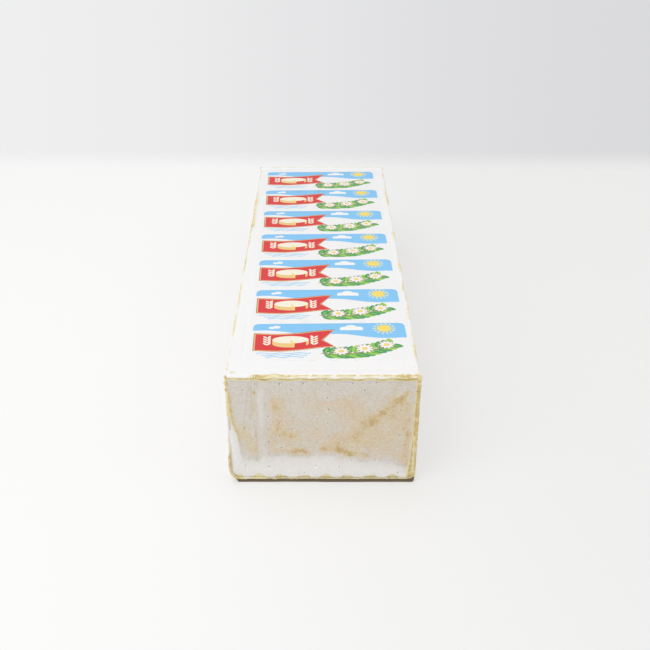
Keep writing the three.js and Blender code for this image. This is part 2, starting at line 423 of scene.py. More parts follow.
def noise_node(tree, place, scale, detail, roughness=0.55):
    made = add_node(
        tree, "ShaderNodeTexNoise", Vector=place, Scale=scale, Detail=detail, Roughness=roughness
    )
    return made.outputs["Fac"]


def ramp_node(tree, value, low, high, to_low=0.0, to_high=1.0):
    settings = {"interpolation_type": "SMOOTHSTEP"}
    made = add_node(tree, "ShaderNodeMapRange", settings, _0=value, _1=low, _2=high, _3=to_low, _4=to_high)
    return made.outputs[0]


def mix_colour(tree, share, first, second):
    made = add_node(tree, "ShaderNodeMix", {"data_type": "RGBA"}, _0=share, _6=first, _7=second)
    return made.outputs[2]


def film_grain_group():
    """The film's fine crinkle, its satin, uneven gloss and the grey mottle of the rind under it."""
    tree, _, ends = new_group("film grain", [], ["Height", "Roughness", "Gloss", "Mottle"])
    place = own_place(tree)
    fine = noise_node(tree, place, 1100.0, 2.0)
    broad = noise_node(tree, place, 360.0, 4.0, 0.6)
    height = math_node(tree, "ADD", math_node(tree, "MULTIPLY", fine, 0.4), broad)
    patches = noise_node(tree, place, 90.0, 2.0)
    freckle = noise_node(tree, place, 1300.0, 2.0, 0.6)
    roughness = ramp_node(tree, broad, 0.3, 0.7, 0.4, 0.58)
    gloss = ramp_node(tree, patches, 0.4, 0.7, 0.03, 0.2)
    mottle = ramp_node(tree, freckle, 0.36, 0.68)
    fill(tree, ends, Height=height, Roughness=roughness, Gloss=gloss, Mottle=mottle)
    return tree


def damp_patch_group():
    """Breaks soft marks up into uneven patches of damp and of rind that shows through."""
    tree, start, ends = new_group("damp patches", ["Damp", "Rind"], ["Damp", "Rind", "Rose"])
    place = own_place(tree)
    cloud = ramp_node(tree, noise_node(tree, place, 170.0, 5.0, 0.62), 0.3, 0.7, 0.72, 1.28)
    freckle = ramp_node(tree, noise_node(tree, place, 700.0, 4.0, 0.7), 0.3, 0.7, 0.82, 1.18)
    broken = math_node(tree, "MULTIPLY", cloud, freckle)
    damp = math_node(tree, "MULTIPLY", start.outputs["Damp"], broken)
    uneven = ramp_node(tree, noise_node(tree, place, 420.0, 4.0, 0.6), 0.25, 0.75, 0.55, 1.3)
    rind = math_node(tree, "MULTIPLY", start.outputs["Rind"], uneven)
    rose = ramp_node(tree, noise_node(tree, place, 90.0, 2.0), 0.42, 0.6)
    fill(tree, ends, Damp=damp, Rind=rind, Rose=rose)
    return tree


def paper_grain_group():
    """Satin label paper: fine fibres, a slight unevenness of the print and of its gloss."""
    tree, _, ends = new_group("paper grain", [], ["Height", "Roughness", "Tone"])
    place = own_place(tree)
    fibre = noise_node(tree, place, 1800.0, 3.0)
    patches = noise_node(tree, place, 70.0, 3.0)
    half_fibre = math_node(tree, "MULTIPLY", fibre, 0.5)
    blend = math_node(tree, "ADD", half_fibre, math_node(tree, "MULTIPLY", patches, 0.5))
    roughness = ramp_node(tree, patches, 0.3, 0.7, 0.34, 0.48)
    tone = ramp_node(tree, blend, 0.3, 0.7, 0.0, 0.09)
    fill(tree, ends, Height=fibre, Roughness=roughness, Tone=tone)
    return tree


FILM_GRAIN = film_grain_group()
DAMP_PATCHES = damp_patch_group()
PAPER_GRAIN = paper_grain_group()


def new_material(name):
    """A material and its empty tree, with a shader joined to its output."""
    material = bpy.data.materials.new(name)
    material.use_nodes = True
    tree = material.node_tree
    tree.nodes.clear()
    shader = tree.nodes.new("ShaderNodeBsdfPrincipled")
    add_node(tree, "ShaderNodeOutputMaterial", Surface=shader.outputs["BSDF"])
    return material, tree, shader


def add_bump(tree, shader, height, depth):
    bump = add_node(tree, "ShaderNodeBump", Height=height, Strength=1.0, Distance=depth * MM)
    fill(tree, shader, Normal=bump.outputs["Normal"])


def read_mark(tree, mark):
    return add_node(tree, "ShaderNodeAttribute", {"attribute_name": mark}).outputs["Fac"]


def wrap_film():
    """White film clinging to a bloomy rind: tan where it is damp, ochre where the rind shows through, and
    dark where the rind mark is strongest, which also paints the shade in the gap under each foot.
    """
    material, tree, shader = new_material("wrap film")
    damp = read_mark(tree, "damp")
    rind = read_mark(tree, "rind")
    patches = add_node(tree, "ShaderNodeGroup", {"node_tree": DAMP_PATCHES}, Damp=damp, Rind=rind)
    grain = add_node(tree, "ShaderNodeGroup", {"node_tree": FILM_GRAIN})
    tan = mix_colour(tree, patches.outputs["Rose"], DAMP_TAN, DAMP_ROSE)
    colour = CLEAN_FILM
    for mask, low, high, tone in (
        (damp, 0.0, 0.17, DULL_FILM),
        (patches.outputs["Damp"], 0.12, 0.52, tan),
        (patches.outputs["Damp"], 0.48, 0.82, DAMP_OCHRE),
        (patches.outputs["Damp"], 0.72, 1.02, DAMP_BROWN),
        (patches.outputs["Rind"], 0.04, 0.35, RIND_YELLOW),
        (patches.outputs["Rind"], 0.3, 0.8, RIND_OCHRE),
        (patches.outputs["Rind"], 0.85, 1.4, DARK_RIND_AND_GAP_SHADE),
    ):
        colour = mix_colour(tree, ramp_node(tree, mask, low, high), colour, tone)
    shade = mix_colour(tree, grain.outputs["Mottle"], (1, 1, 1, 1), GREY_FILM)
    mottled = {"data_type": "RGBA", "blend_type": "MULTIPLY"}
    strength = ramp_node(tree, damp, 0.0, 0.2, 0.1, 0.6)
    shaded = add_node(tree, "ShaderNodeMix", mottled, _0=strength, _6=colour, _7=shade)
    fill(tree, shader, Base_Color=shaded.outputs[2], Roughness=grain.outputs["Roughness"])
    fill(tree, shader, Coat_Weight=grain.outputs["Gloss"], Coat_Roughness=0.28, Specular_IOR_Level=0.35)
    add_bump(tree, shader, grain.outputs["Height"], 0.09)
    return material


def prick_hole():
    """The small dark mouth of a pin prick."""
    material, tree, shader = new_material("prick hole")
    grain = add_node(tree, "ShaderNodeGroup", {"node_tree": FILM_GRAIN})
    shade = ramp_node(tree, grain.outputs["Height"], 0.3, 1.0, 0.0, 0.5)
    colour = mix_colour(tree, shade, PRICK_BROWN, DAMP_TAN)
    fill(tree, shader, Base_Color=colour, Roughness=grain.outputs["Roughness"])
    return material


def label_ink(name, colour):
    """One flat ink on label paper, a little uneven as print is."""
    material, tree, shader = new_material("label " + name)
    grain = add_node(tree, "ShaderNodeGroup", {"node_tree": PAPER_GRAIN})
    faded = tuple(0.75 * channel + 0.25 for channel in colour[:3]) + (1.0,)
    printed = mix_colour(tree, grain.outputs["Tone"], colour, faded)
    fill(tree, shader, Base_Color=printed, Roughness=grain.outputs["Roughness"], Specular_IOR_Level=0.3)
    add_bump(tree, shader, grain.outputs["Height"], 0.012)
    return material


film = wrap_film()
hole = prick_hole()
inks = {name: label_ink(name, colour) for name, colour in INKS.items()}


# The wrapped log

def graded(low, high):
    """Lines from low to high, closer together in a band by each end."""
    near = np.arange(0, EDGE_BAND, EDGE_LINE_STEP)
    count = round((high - low - 2 * EDGE_BAND) / LINE_STEP) + 1
    middle = np.linspace(low + EDGE_BAND, high - EDGE_BAND, count)
    return np.concatenate([low + near, middle, (high - near)[::-1]])


def with_step(lines, place):
    """The same lines with a close pair at a step, and none crowding it."""
    pair = np.array((place - SEAM_LEAN / 2, place + SEAM_LEAN / 2))
    kept = lines[np.abs(lines - place) > 2 * SEAM_LEAN]
    return np.sort(np.concatenate([kept, pair]))


def lattice_shell(counts):
    """Four lattice places for every quad over the six faces of a box of that many steps each way."""
    quads = []
    for axis in range(3):
        first, second = (n for n in range(3) if n != axis)
        across, along = np.meshgrid(np.arange(counts[first]), np.arange(counts[second]), indexing="ij")
        for end in (0, counts[axis]):
            corners = []
            for step_across, step_along in ((0, 0), (1, 0), (1, 1), (0, 1)):
                place = np.full(across.shape + (3,), end)
                place[..., first] = across + step_across
                place[..., second] = along + step_along
                corners.append(place.reshape(-1, 3))
            quads.append(np.stack(corners, axis=1))
    return np.concatenate(quads)


def rounded_section(x, z):
    """Places in the plain section, with its four corners drawn onto their arcs."""
    slumped = (x < 0) & (z < LOG_HEIGHT / 2)
    low_radius = np.where(slumped, LOWER_LEFT_RADIUS, LOWER_RIGHT_RADIUS)
    radius = np.where(z < LOG_HEIGHT / 2, low_radius, TOP_RADIUS)
    power = np.where(slumped, SLUMP_POWER, ARC_POWER)
    core_x = np.clip(x, radius - HALF_WIDTH, HALF_WIDTH - radius)
    core_z = np.clip(z, radius, LOG_HEIGHT - radius)
    out_x = x - core_x
    out_z = z - core_z
    reach = np.maximum(np.abs(out_x), np.abs(out_z))
    length = np.maximum((np.abs(out_x) ** power + np.abs(out_z) ** power) ** (1 / power), 1e-9)
    return core_x + out_x * reach / length, core_z + out_z * reach / length


def end_lines():
    """Lines along the log with the arcs of its end edges, and how far each draws the section in."""
    straight = HALF_BODY - END_RADIUS
    angles = np.linspace(np.pi / 2, 0, END_ARC_STEPS + 1)[:-1]
    arc = straight + END_RADIUS * np.sin(angles)
    middle = with_step(graded(-straight, straight), MARGIN_END_Y)
    lines = np.concatenate([-arc, middle, arc[::-1]])
    past = np.maximum(np.abs(lines) - straight, 0)
    inset = END_RADIUS - np.sqrt(np.maximum(END_RADIUS**2 - past**2, 0))
    return lines, inset


def edge_distances(points):
    """How far each point on the log is from each kind of edge, measured over the faces."""
    side = HALF_WIDTH - np.abs(points[:, 0])
    end = HALF_BODY - np.abs(points[:, 1])
    top = LOG_HEIGHT - points[:, 2]
    low = points[:, 2]
    return {
        "side_end": np.maximum(side, end),
        "low_end": np.maximum(low, end),
        "top_side": np.maximum(top, side),
        "low_side": np.maximum(low, side),
    }


def brick():
    """The plain brick with its rounded edges and the steps of the film on its top."""
    across = with_step(graded(-HALF_WIDTH, HALF_WIDTH), SEAM_X_BACK)
    along, inset = end_lines()
    up = graded(0, LOG_HEIGHT)
    shell = lattice_shell([len(lines) - 1 for lines in (across, along, up)])
    places, index = np.unique(shell.reshape(-1, 3), axis=0, return_inverse=True)
    line_x = across[places[:, 0]]
    y = along[places[:, 1]]
    drawn = inset[places[:, 1]]
    x, z = rounded_section(line_x, up[places[:, 2]])
    on_margin = line_x < SEAM_X_BACK
    near_top = smooth_step(z, LOG_HEIGHT - 8, LOG_HEIGHT - 1)
    covered = y < MARGIN_END_Y
    z = z - np.where(on_margin, near_top * (SEAM_STEP - MARGIN_RISE * covered), 0)
    shift_share = np.interp(line_x, (-HALF_WIDTH + TOP_RADIUS, SEAM_X_BACK, HALF_WIDTH / 2), (0, 1, 0))
    x = x + smooth_step(z, 8, LOG_HEIGHT - 4) * shift_share * (seam_x(y) - SEAM_X_BACK)
    middle = LOG_HEIGHT / 2
    x = x * (1 - drawn / HALF_WIDTH)
    z = middle + (z - middle) * (1 - drawn / middle)
    return np.stack([x, y, z], axis=1), index.reshape(-1, 4)


def outward(points, faces):
    """The outward direction at each point of a closed mesh."""
    mesh = bpy.data.meshes.new("plain")
    mesh.from_pydata(points.tolist(), [], faces.tolist())
    shaped = bmesh.new()
    shaped.from_mesh(mesh)
    bmesh.ops.recalc_face_normals(shaped, faces=shaped.faces)
    normals = np.array([vertex.normal for vertex in shaped.verts])
    shaped.free()
    bpy.data.meshes.remove(mesh)
    return normals


def top_grooves(points):
    """Soft grooves in the film on the top: round the pads before the label, and beside the label."""
    x, y, z = points.T
    behind = y + HALF_BODY
    on_top = smooth_step(z, LOG_HEIGHT - 1.5, LOG_HEIGHT - 0.5)
    on_pads = smooth_step(x, NUB_FIRST_X - 3, NUB_FIRST_X + 3)
    across = fall(behind - GROOVE_BEHIND, GROOVE_WIDTH)
    before_label = smooth_step(behind, GROOVE_BEHIND - 0.5, GROOVE_BEHIND + 0.5)
    before_label = before_label * step_down(behind, *PADS_END)
    between_pads = repeated(x, NUB_FIRST_X, NUB_PITCH, GROOVE_WIDTH) * before_label
    beside = fall(x - LABEL_GROOVE_X, GROOVE_WIDTH) * smooth_step(y, *LABEL_GROOVE_START)
    beside = beside * step_down(y, *LABEL_GROOVE_END)
    return on_top * np.maximum(on_pads * np.maximum(across, between_pads), beside)


def edge_rind(distance, strength, reach):
    """Rind that is strongest at an edge and dies away from it."""
    return strength * fall(distance, reach)


def rind_on_edges(points, away):
    """How much ochre rind shows through by the edges of the log, and the painted shade in the gap under each
    foot.
    """
    x, y, z = points.T
    lumps = 0.6 + 0.5 * rumple(points, 7, SEED) + 0.3 * rumple(points, 2.4, SEED + 1)
    ragged = np.clip(0.5 + 1.2 * rumple(points, (9, 15, 9), SEED + 9), 0.05, 1.1)
    top_strength, top_reach = np.where((x < 0)[:, None], TOP_LEFT_RIND, TOP_RIGHT_RIND).T
    behind_cover = y - MARGIN_END_Y
    far_margin = smooth_step(behind_cover, -0.3, 0.3) * (1 - 0.75 * smooth_step(behind_cover, 25, 75))
    far_margin = far_margin * (1 + 0.5 * fall(behind_cover - 3, 5))
    bare_edge = BARE_MARGIN - HALF_WIDTH
    by_left_edge = step_down(x, bare_edge - 0.3, bare_edge + 0.5)
    on_top = smooth_step(z, LOG_HEIGHT - 3, LOG_HEIGHT - 1.2)
    rind = edge_rind(away["side_end"], *SIDE_END_RIND) + edge_rind(away["low_side"], *LOW_SIDE_RIND)
    rind = rind + edge_rind(away["top_side"], top_strength * ragged, top_reach)
    in_gap = step_down(away["low_end"], FOOT_GAP, FOOT_GAP + 0.5)
    by_foot = edge_rind(np.maximum(away["low_end"] - FOOT_GAP, 0), *FOOT_RIND)
    rind = np.clip(rind * lumps, 0, 1.2) + FAR_MARGIN_RIND * far_margin * by_left_edge * on_top
    for speck_x, speck_y, size, strength in TOP_SPECKS:
        rind = rind + strength * on_top * fall(np.hypot(x - speck_x, y - speck_y), size)
    # Painted shade on the log's ends in the gap under the lip along each foot
    gap_shade = np.where(y < 0, FRONT_GAP_SHADE, BACK_GAP_SHADE)
    return np.maximum(np.maximum(rind, by_foot), gap_shade * in_gap)


def side_damp(points):
    """How damp the film is on the long sides: ragged clouds and streaks above a cleaner band."""
    drift = np.stack([rumple(points, 6, SEED + n) for n in (30, 31, 32)], axis=1)
    places = points + SIDE_DRIFT * drift
    y, z = places[:, 1], places[:, 2]
    band_top = SIDE_BAND + 1.8 * swing(y, 0.9)
    above = smooth_step(z - band_top, *SIDE_BLEND)
    lower = step_down(z, 0.4 * LOG_HEIGHT, 0.85 * LOG_HEIGHT)
    cloud = 0.3 + 0.9 * rumple(places, (40, 26, 13), SEED + 8) + 0.35 * rumple(points, 5, SEED + 33)
    runs = np.clip(1.6 * rumple(places, (60, 13, 60), SEED + 34), 0, 1)
    streaks = SIDE_STREAK * runs * fall(z - band_top - 2.6, 1.4)
    clouds = SIDE_CLOUD * np.clip(cloud, 0, 1) * lower
    below_edge = smooth_step(LOG_HEIGHT - points[:, 2], *SIDE_TOP_FADE)
    return below_edge * (BAND_DULL + above * (SIDE_DULL - BAND_DULL + clouds + streaks))


def wrapped_log():
    points, faces = brick()
    normals = outward(points, faces)
    away = edge_distances(points)
    swell = swell_at(points, normals)
    ridged = 1 - 2 * np.abs(rumple(points, (9, 26, 12), SEED + 2))
    crinkle = 0.7 * ridged * np.abs(rumple(points, 22, SEED + 3)) + 0.4 * rumple(points, 3.5, SEED + 4)
    lumps = 0.35 + 0.65 * np.abs(rumple(points, 2.6, SEED + 5)) + 0.5 * rumple(points, 5.5, SEED + 6)
    crags = CRAG_DEPTH * fall(away["top_side"], 0.8) * np.clip(lumps, 0, 1.2)
    crags = crags + EDGE_WAVE * fall(away["top_side"], 2.5) * rumple(points, (8, 12, 8), SEED + 7)
    crags = crags * smooth_step(HALF_BODY - np.abs(points[:, 1]), 1.5, 6.0)
    grooves = top_grooves(points)
    crags = crags - GROOVE_DEPTH * grooves
    resting = np.where(normals[:, 2] < -0.5, 0, 1)
    shaped = points + normals * ((swell + CRINKLE_DEPTH * crinkle + crags) * resting)[:, None]
    shaped[:, 2] = np.maximum(shaped[:, 2], 0)
    on_side = np.abs(normals[:, 0]) > 0.5
    on_end = np.abs(normals[:, 1]) > 0.5
    # Damp on the sides and ends, and painted shade in the grooves on the top
    damp = np.where(on_side, side_damp(points), BAND_DULL * on_end) + GROOVE_SHADE * grooves
    marks = {"damp": damp, "rind": rind_on_edges(points, away)}
    piece = make_piece("wrapped_log_film", shaped, faces, [film], marks=marks)
    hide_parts("wrapped_log")
    return piece


# The film folded over the ends. A fold's edges are lists of (height, x) going up.

FRONT_FOLD = {
    "left_edge": [
        (2, -33.2), (12.9, -33.7), (22.1, -34.8), (28.3, -37.0), (34.5, -37.7), (44.5, -38.1), (51, -38.1)
    ],
    "right_edge": [(2, 35.8), (12.9, 36.4), (29.7, 37.0), (47.8, 37.5), (51, 37.6)],
    "pleat": [(2, -25.9), (11.4, -26.3), (36.4, -27.1), (51, -27.3)],
    "tucks": [(-1, "left_edge", 28.0)],
}
BACK_FOLD = {
    "left_edge": [(2, -35.4), (18.0, -36.2), (33.0, -37.2), (51, -38.0)],
    "right_edge": [(2, 33.4), (10.0, 33.9), (20.0, 35.4), (26.0, 36.9), (34.0, 37.6), (51, 38.0)],
    "pleat": [(2, -30.6), (14.0, -31.2), (36.0, -31.9), (51, -32.3)],
    "tucks": [(1, "right_edge", 25.0)],
}
KNOT_BELOW_TOP = 0.6

# Damp patches that show through the flaps: from (x, z), to (x, z), half width, strength
FRONT_DAMP = [
    ((-14, 31), (14, 31), 9.0, 0.1),
    ((-16, 37.5), (22, 36.5), 6.0, 0.1),
    ((-20, 20), (14, 19), 5.5, 0.17),
    ((-18.8, 38), (-18.4, 27), 2.3, 0.38),
    ((-21, 24.5), (-12, 23.2), 2.8, 0.38),
    ((-15.2, 24), (-13.5, 23.4), 1.2, 0.22),
    ((-20, 20), (-13, 18.5), 3.0, 0.16),
    ((-20.9, 16.2), (-13, 15.0), 0.9, 0.4),
    ((-11.5, 14.9), (-6.8, 14.3), 1.5, 0.76),
    ((-28.0, 43.7), (-27.5, 43.0), 0.75, 0.97),
    ((-6, 23), (-2, 22.5), 2.2, 0.18),
    ((1.4, 17.2), (5.6, 16.6), 1.9, 0.66),
    ((4, 20.5), (6, 18.5), 1.8, 0.3),
    ((7.4, 15.8), (11, 14.1), 1.5, 0.55),
    ((10.6, 14), (17.8, 13.6), 1.5, 0.6),
    ((6, 21), (13, 23.5), 3.2, 0.14),
    ((12, 20), (20, 20), 3.2, 0.17),
    ((16, 24), (33, 22), 6.5, 0.25),
    ((22, 27), (33, 32), 5.0, 0.2),
    ((22, 17), (33, 13), 3.5, 0.26),
    ((8.7, 39.7), (12, 33), 3.2, 0.22),
    ((29, 44.5), (37, 44.5), 5.0, 0.12),
    ((33.0, 42.7), (29.2, 38.9), 1.1, 0.5),
    ((29.2, 39.2), (24.8, 34.3), 2.4, 0.46),
    ((26.4, 35.9), (25.2, 34.7), 1.9, 0.64),
    ((24.4, 33.7), (17.4, 29.0), 2.6, 0.38),
    ((20, 30.6), (18.4, 29.6), 1.8, 0.42),
    ((27, 33), (31, 38), 3.2, 0.22),
    ((33.4, 38), (34.2, 9), 1.4, 0.4),
    ((-32, 25), (-28, 14), 2.7, 0.33),
]
BACK_DAMP = [
    ((-24, 31.5), (-10, 27.5), 3.0, 0.4),
    ((-6, 19.5), (8, 15.5), 1.8, 0.6),
    ((8, 15.5), (16, 17), 1.6, 0.45),
    ((12, 25.5), (26, 35.5), 2.3, 0.55),
    ((-28, 15.5), (-14, 13), 1.4, 0.5),
    ((-31, 35.5), (-30, 19.5), 2.0, 0.4),
    ((-20, 23.5), (28, 23.5), 10.0, 0.32),
]
# The top of the cleaner band on the ends, as (x, height)
CLEAN_BAND = [(-34, 10.8), (-20, 11.8), (2, 12.0), (10, 11.0), (19, 10.0), (29, 8.6), (33.4, 6.4), (36, 4)]


def edge_x(edge, z):
    """Where a slanted edge is at a height, with its corners softened."""
    heights, places = np.array(edge, float).T
    return sum(np.interp(z + shift, heights, places) for shift in (-2, -1, 0, 1, 2)) / 5


def damp_strength(points, patches, seed):
    """How damp the film is, from a list of soft-edged patches that wander a little."""
    x = points[..., 0] + 1.6 * rumple(points, 5, seed) + 0.9 * rumple(points, 1.8, seed + 1)
    z = points[..., 2] + 1.3 * rumple(points, 4, seed + 2) + 0.7 * rumple(points, 1.5, seed + 3)
    band_top = np.interp(x, *np.array(CLEAN_BAND, float).T)
    dry = 1 - BAND_DULL - (FILM_DULL - BAND_DULL) * smooth_step(z - band_top, *DULL_BLEND)
    for start, end, half_width, level in patches:
        run = np.subtract(end, start)
        share = np.clip(((x - start[0]) * run[0] + (z - start[1]) * run[1]) / (run @ run), 0, 1)
        away = np.hypot(x - start[0] - share * run[0], z - start[1] - share * run[1])
        dry = dry * (1 - level * fall(away, half_width) * smooth_step(z - band_top, *BAND_BLEND))
    return 1 - dry


def rounded_edge(distance):
    """The profile of a film's folded edge: 0 at its rim, up to 1 a little way in."""
    share = np.clip(distance / FLAP_EDGE_ROUND, 0, 1)
    return np.sqrt(1 - (1 - share) ** 2)


def scalloped_foot(x):
    """The height of a flap's foot, which is scalloped where the film has stuck to the cheese."""
    place = np.mod(x - SCALLOP_FIRST_X + SCALLOP_PITCH / 2, SCALLOP_PITCH) - SCALLOP_PITCH / 2
    bow = np.clip(1 - (2 * place / SCALLOP_WIDTH) ** 2, 0, 1)
    uneven = 0.8 + 0.3 * np.sin(x * 0.9)
    return FLAP_FOOT + SCALLOP_HEIGHT * np.sqrt(bow) * uneven


def with_rims(count, size):
    """Shares from 0 to 1, with extra ones by both ends where a film's edge is round."""
    rim = np.array((0.12, 0.28)) / size
    return np.sort(np.concatenate([np.linspace(0, 1, count), rim, 1 - rim]))


def flap_grid(left_edge, right_edge):
    """A grid over a flap from its scalloped foot up, and how far in from its sides each place is."""
    width = right_edge[-1][1] - left_edge[-1][1]
    across = with_rims(round(width / FLAP_STEP) + 1, width)
    up = with_rims(round(LOG_HEIGHT / FLAP_STEP) + 1, LOG_HEIGHT)
    share_x, share_z = np.meshgrid(across, up)
    plain_z = FLAP_FOOT + (FLAP_TOP - FLAP_FOOT) * share_z
    left = edge_x(left_edge, plain_z)
    right = edge_x(right_edge, plain_z)
    x = left + (right - left) * share_x
    foot = scalloped_foot(x)
    z = foot + (FLAP_TOP - foot) * share_z
    scallop = smooth_step(foot - FLAP_FOOT, 0.2, 1.0)
    sides = {"from_left": x - left, "from_right": right - x}
    return {"x": x, "z": z, "above_foot": z - foot, "scallop": scallop, **sides}


def share_grid(columns, rows):
    """A grid of shares from 0 to 1, across and up."""
    return np.meshgrid(np.linspace(0, 1, columns), np.linspace(0, 1, rows))


def on_end_plane(x, z, y):
    """Points that are all as far along the log."""
    return np.stack([x, np.full(x.shape, y), z], axis=-1)


def end_sheet(name, side, x, z, out, depth, damp, rind):
    """Film that stands that far out at one end, with a flat back that deep inside the log."""
    front = np.stack([x, side * out, z], axis=-1)
    back = on_end_plane(x, z, side * (HALF_BODY - depth))
    return film_sheet(name, front, back, damp, rind)


def sunk_sheet(name, side, x, z, lift, profile, damp, rind):
    """Film with that much lift over one end, which sinks into the log where its profile is 0."""
    out = HALF_BODY + end_swell(x, z, side) - FLAP_SINK + (lift + FLAP_SINK) * profile
    return end_sheet(name, side, x, z, out, FLAP_BACK, damp, rind)


def flap_sheet(name, side, grid, lift, damp, rind):
    """A film flap with that much lift over one end, whose rims sink into the log."""
    profile = rounded_edge(grid["from_left"]) * rounded_edge(grid["from_right"])
    profile = profile * rounded_edge(grid["above_foot"]) * smooth_step(FLAP_TOP - grid["z"], *FLAP_TOP_FADE)
    return sunk_sheet(name, side, grid["x"], grid["z"], lift, profile, damp, rind)


def fan_creases(grid, knot_x, seed):
    """Creases that spread down from the knot where the film is gathered at the pleat's top."""
    below = LOG_HEIGHT - KNOT_BELOW_TOP - grid["z"] + 8
    fan = (grid["x"] - knot_x) / below
    spots = np.stack([CREASE_RATE * fan, np.zeros_like(fan), 0.05 * grid["z"]], axis=-1)
    creases = rumple(spots, 1, seed) + 0.4 * rumple(2.1 * spots, 1, seed + 1)
    return CREASE_DEPTH * creases * fall(fan + 0.06, 0.2) * smooth_step(grid["z"], 14, 32)


def film_crinkle(points, seed):
    """Small crinkles all over, and shallow wrinkles that run across."""
    small = 0.07 * rumple(points, 1.7, seed) + 0.05 * rumple(points, 0.9, seed + 1)
    return small + 0.08 * rumple(points, (9, 9, 2.2), seed + 2) + 0.1 * rumple(points, 8, seed + 3)


def furrow_mark(grid, pleat):
    """Rind on a flap where it runs up into the furrow below the top edge."""
    below = LOG_HEIGHT - grid["z"] - furrow_depth(grid["x"], pleat)
    return furrow_rind(grid["x"], pleat) * fall(below, 0.42)


def thick_flap(end, side, fold, patches, seed):
    """The flap on the right of the pleat, folded back on itself there, with a painted highlight beside the
    pleat and painted shade along its edge.
    """
    grid = flap_grid(fold["pleat"], fold["right_edge"])
    points = on_end_plane(grid["x"], grid["z"], side * HALF_BODY)
    z, from_left = grid["z"], grid["from_left"]
    knot_x = fold["pleat"][-1][1]
    folded = smooth_step(z, *PLEAT_START)
    ridge = PLEAT_RIDGE * fall(from_left - PLEAT_RIDGE_IN, PLEAT_RIDGE_WIDTH) * folded
    ridge = ridge * step_down(z, *PLEAT_RIDGE_END)
    flat_foot = 0.2 * fall(from_left, 4) * (1 - folded)
    creases = fan_creases(grid, knot_x, seed + 5)
    lift = THICK_RISE + film_crinkle(points, seed) + ridge - flat_foot + creases
    # Painted shade in the creases' valleys
    damp = damp_strength(points, patches, seed + 6) + CREASE_SHADE * np.maximum(-creases, 0)
    # A paler band right of the pleat: a painted highlight on the fold's roll
    pale = 0.42 * fall(from_left - 2.6, 1.9) * smooth_step(z, *PLEAT_HIGHLIGHT_START)
    damp = damp * (1 - pale * step_down(z, *PLEAT_HIGHLIGHT_END))
    # Painted shade along the pleat's edge
    damp = damp + 0.24 * fall(from_left, 0.35) * folded * step_down(z, *PLEAT_SHADE_END)
    low = step_down(z, *LOW_EDGE_END)
    rind = (0.5 + 0.25 * low) * fall(grid["from_right"], 0.6 + 0.7 * low)
    rind = rind + 0.34 * grid["scallop"] * fall(grid["above_foot"], 0.8) + furrow_mark(grid, knot_x)
    return flap_sheet(end + "_flap_thick", side, grid, lift, damp, rind)


def thin_flap(end, side, fold, patches, seed):
    """The flap under the pleat, on its left, with a tan band along its outer fold."""
    under_edge = [(height, place + UNDERLAP) for height, place in fold["pleat"]]
    grid = flap_grid(fold["left_edge"], under_edge)
    points = on_end_plane(grid["x"], grid["z"], side * HALF_BODY)
    z, from_left = grid["z"], grid["from_left"]
    knot_x = fold["pleat"][-1][1]
    upper = smooth_step(z, *TAN_BAND_START) * step_down(z, *TAN_BAND_END)
    creases = fan_creases(grid, knot_x, seed + 5)
    lift = THIN_RISE + film_crinkle(points, seed) + creases
    valley = fall(grid["from_right"] - UNDERLAP - 0.2, 0.45) * smooth_step(z, *VALLEY_START)
    valley = valley * step_down(z, *PLEAT_SHADE_END)
    lift = lift + 0.3 * fall(from_left - 0.5, 0.8) - 0.25 * valley
    # Painted shade in the creases' valleys
    damp = damp_strength(points, patches, seed + 6) + CREASE_SHADE * np.maximum(-creases, 0)
    # The tan band along the outer fold, and painted shade in the valley beside the pleat
    damp = damp + 0.6 * upper * fall(from_left - 0.7, 1.1) + 0.16 * valley
    rind = 0.42 * upper * fall(from_left, 0.6) + 0.3 * grid["scallop"] * fall(grid["above_foot"], 0.8)
    rind = rind + furrow_mark(grid, knot_x)
    return flap_sheet(end + "_flap_thin", side, grid, lift, damp, rind)


def tuck_sheet(name, side, flank, edge, top, seed):
    """Clean film tucked in from a flank under a flap, with a soft ridge beside the flap's edge."""
    foot = LOWER_LEFT_RADIUS
    share_x, share_z = share_grid(TUCK_COLUMNS, round((top - foot) / FLAP_STEP) + 1)
    z = foot + (top - foot) * share_z
    outer = flank * (HALF_WIDTH - TUCK_INSET)
    fold_x = edge_x(edge, z)
    x = outer + (fold_x - flank * TUCK_UNDERLAP - outer) * share_x
    beside = flank * (x - fold_x)
    points = on_end_plane(x, z, side * HALF_BODY)
    lift = TUCK_RISE + 0.3 * fall(beside - 1.6, 1.0) + 0.05 * rumple(points, (2.5, 9, 9), seed)
    profile = rounded_edge(np.abs(x - outer)) * smooth_step(share_z, 0, 0.1)
    profile = profile * smooth_step(1 - share_z, 0, 0.2)
    damp = np.full(x.shape, BAND_DULL)
    return sunk_sheet(name, side, x, z, lift, profile, damp, np.zeros(x.shape))


def end_flaps(end, side, fold, patches, seed):
    """The thick flap on the right of the pleat, the thin one under it on the left, and the tucks."""
    made = [thick_flap(end, side, fold, patches, seed), thin_flap(end, side, fold, patches, seed + 5)]
    for flank, edge, top in fold["tucks"]:
        made.append(tuck_sheet(end + "_tuck", side, flank, fold[edge], top, seed + 15))
    return made


# Film gathered over the end edges

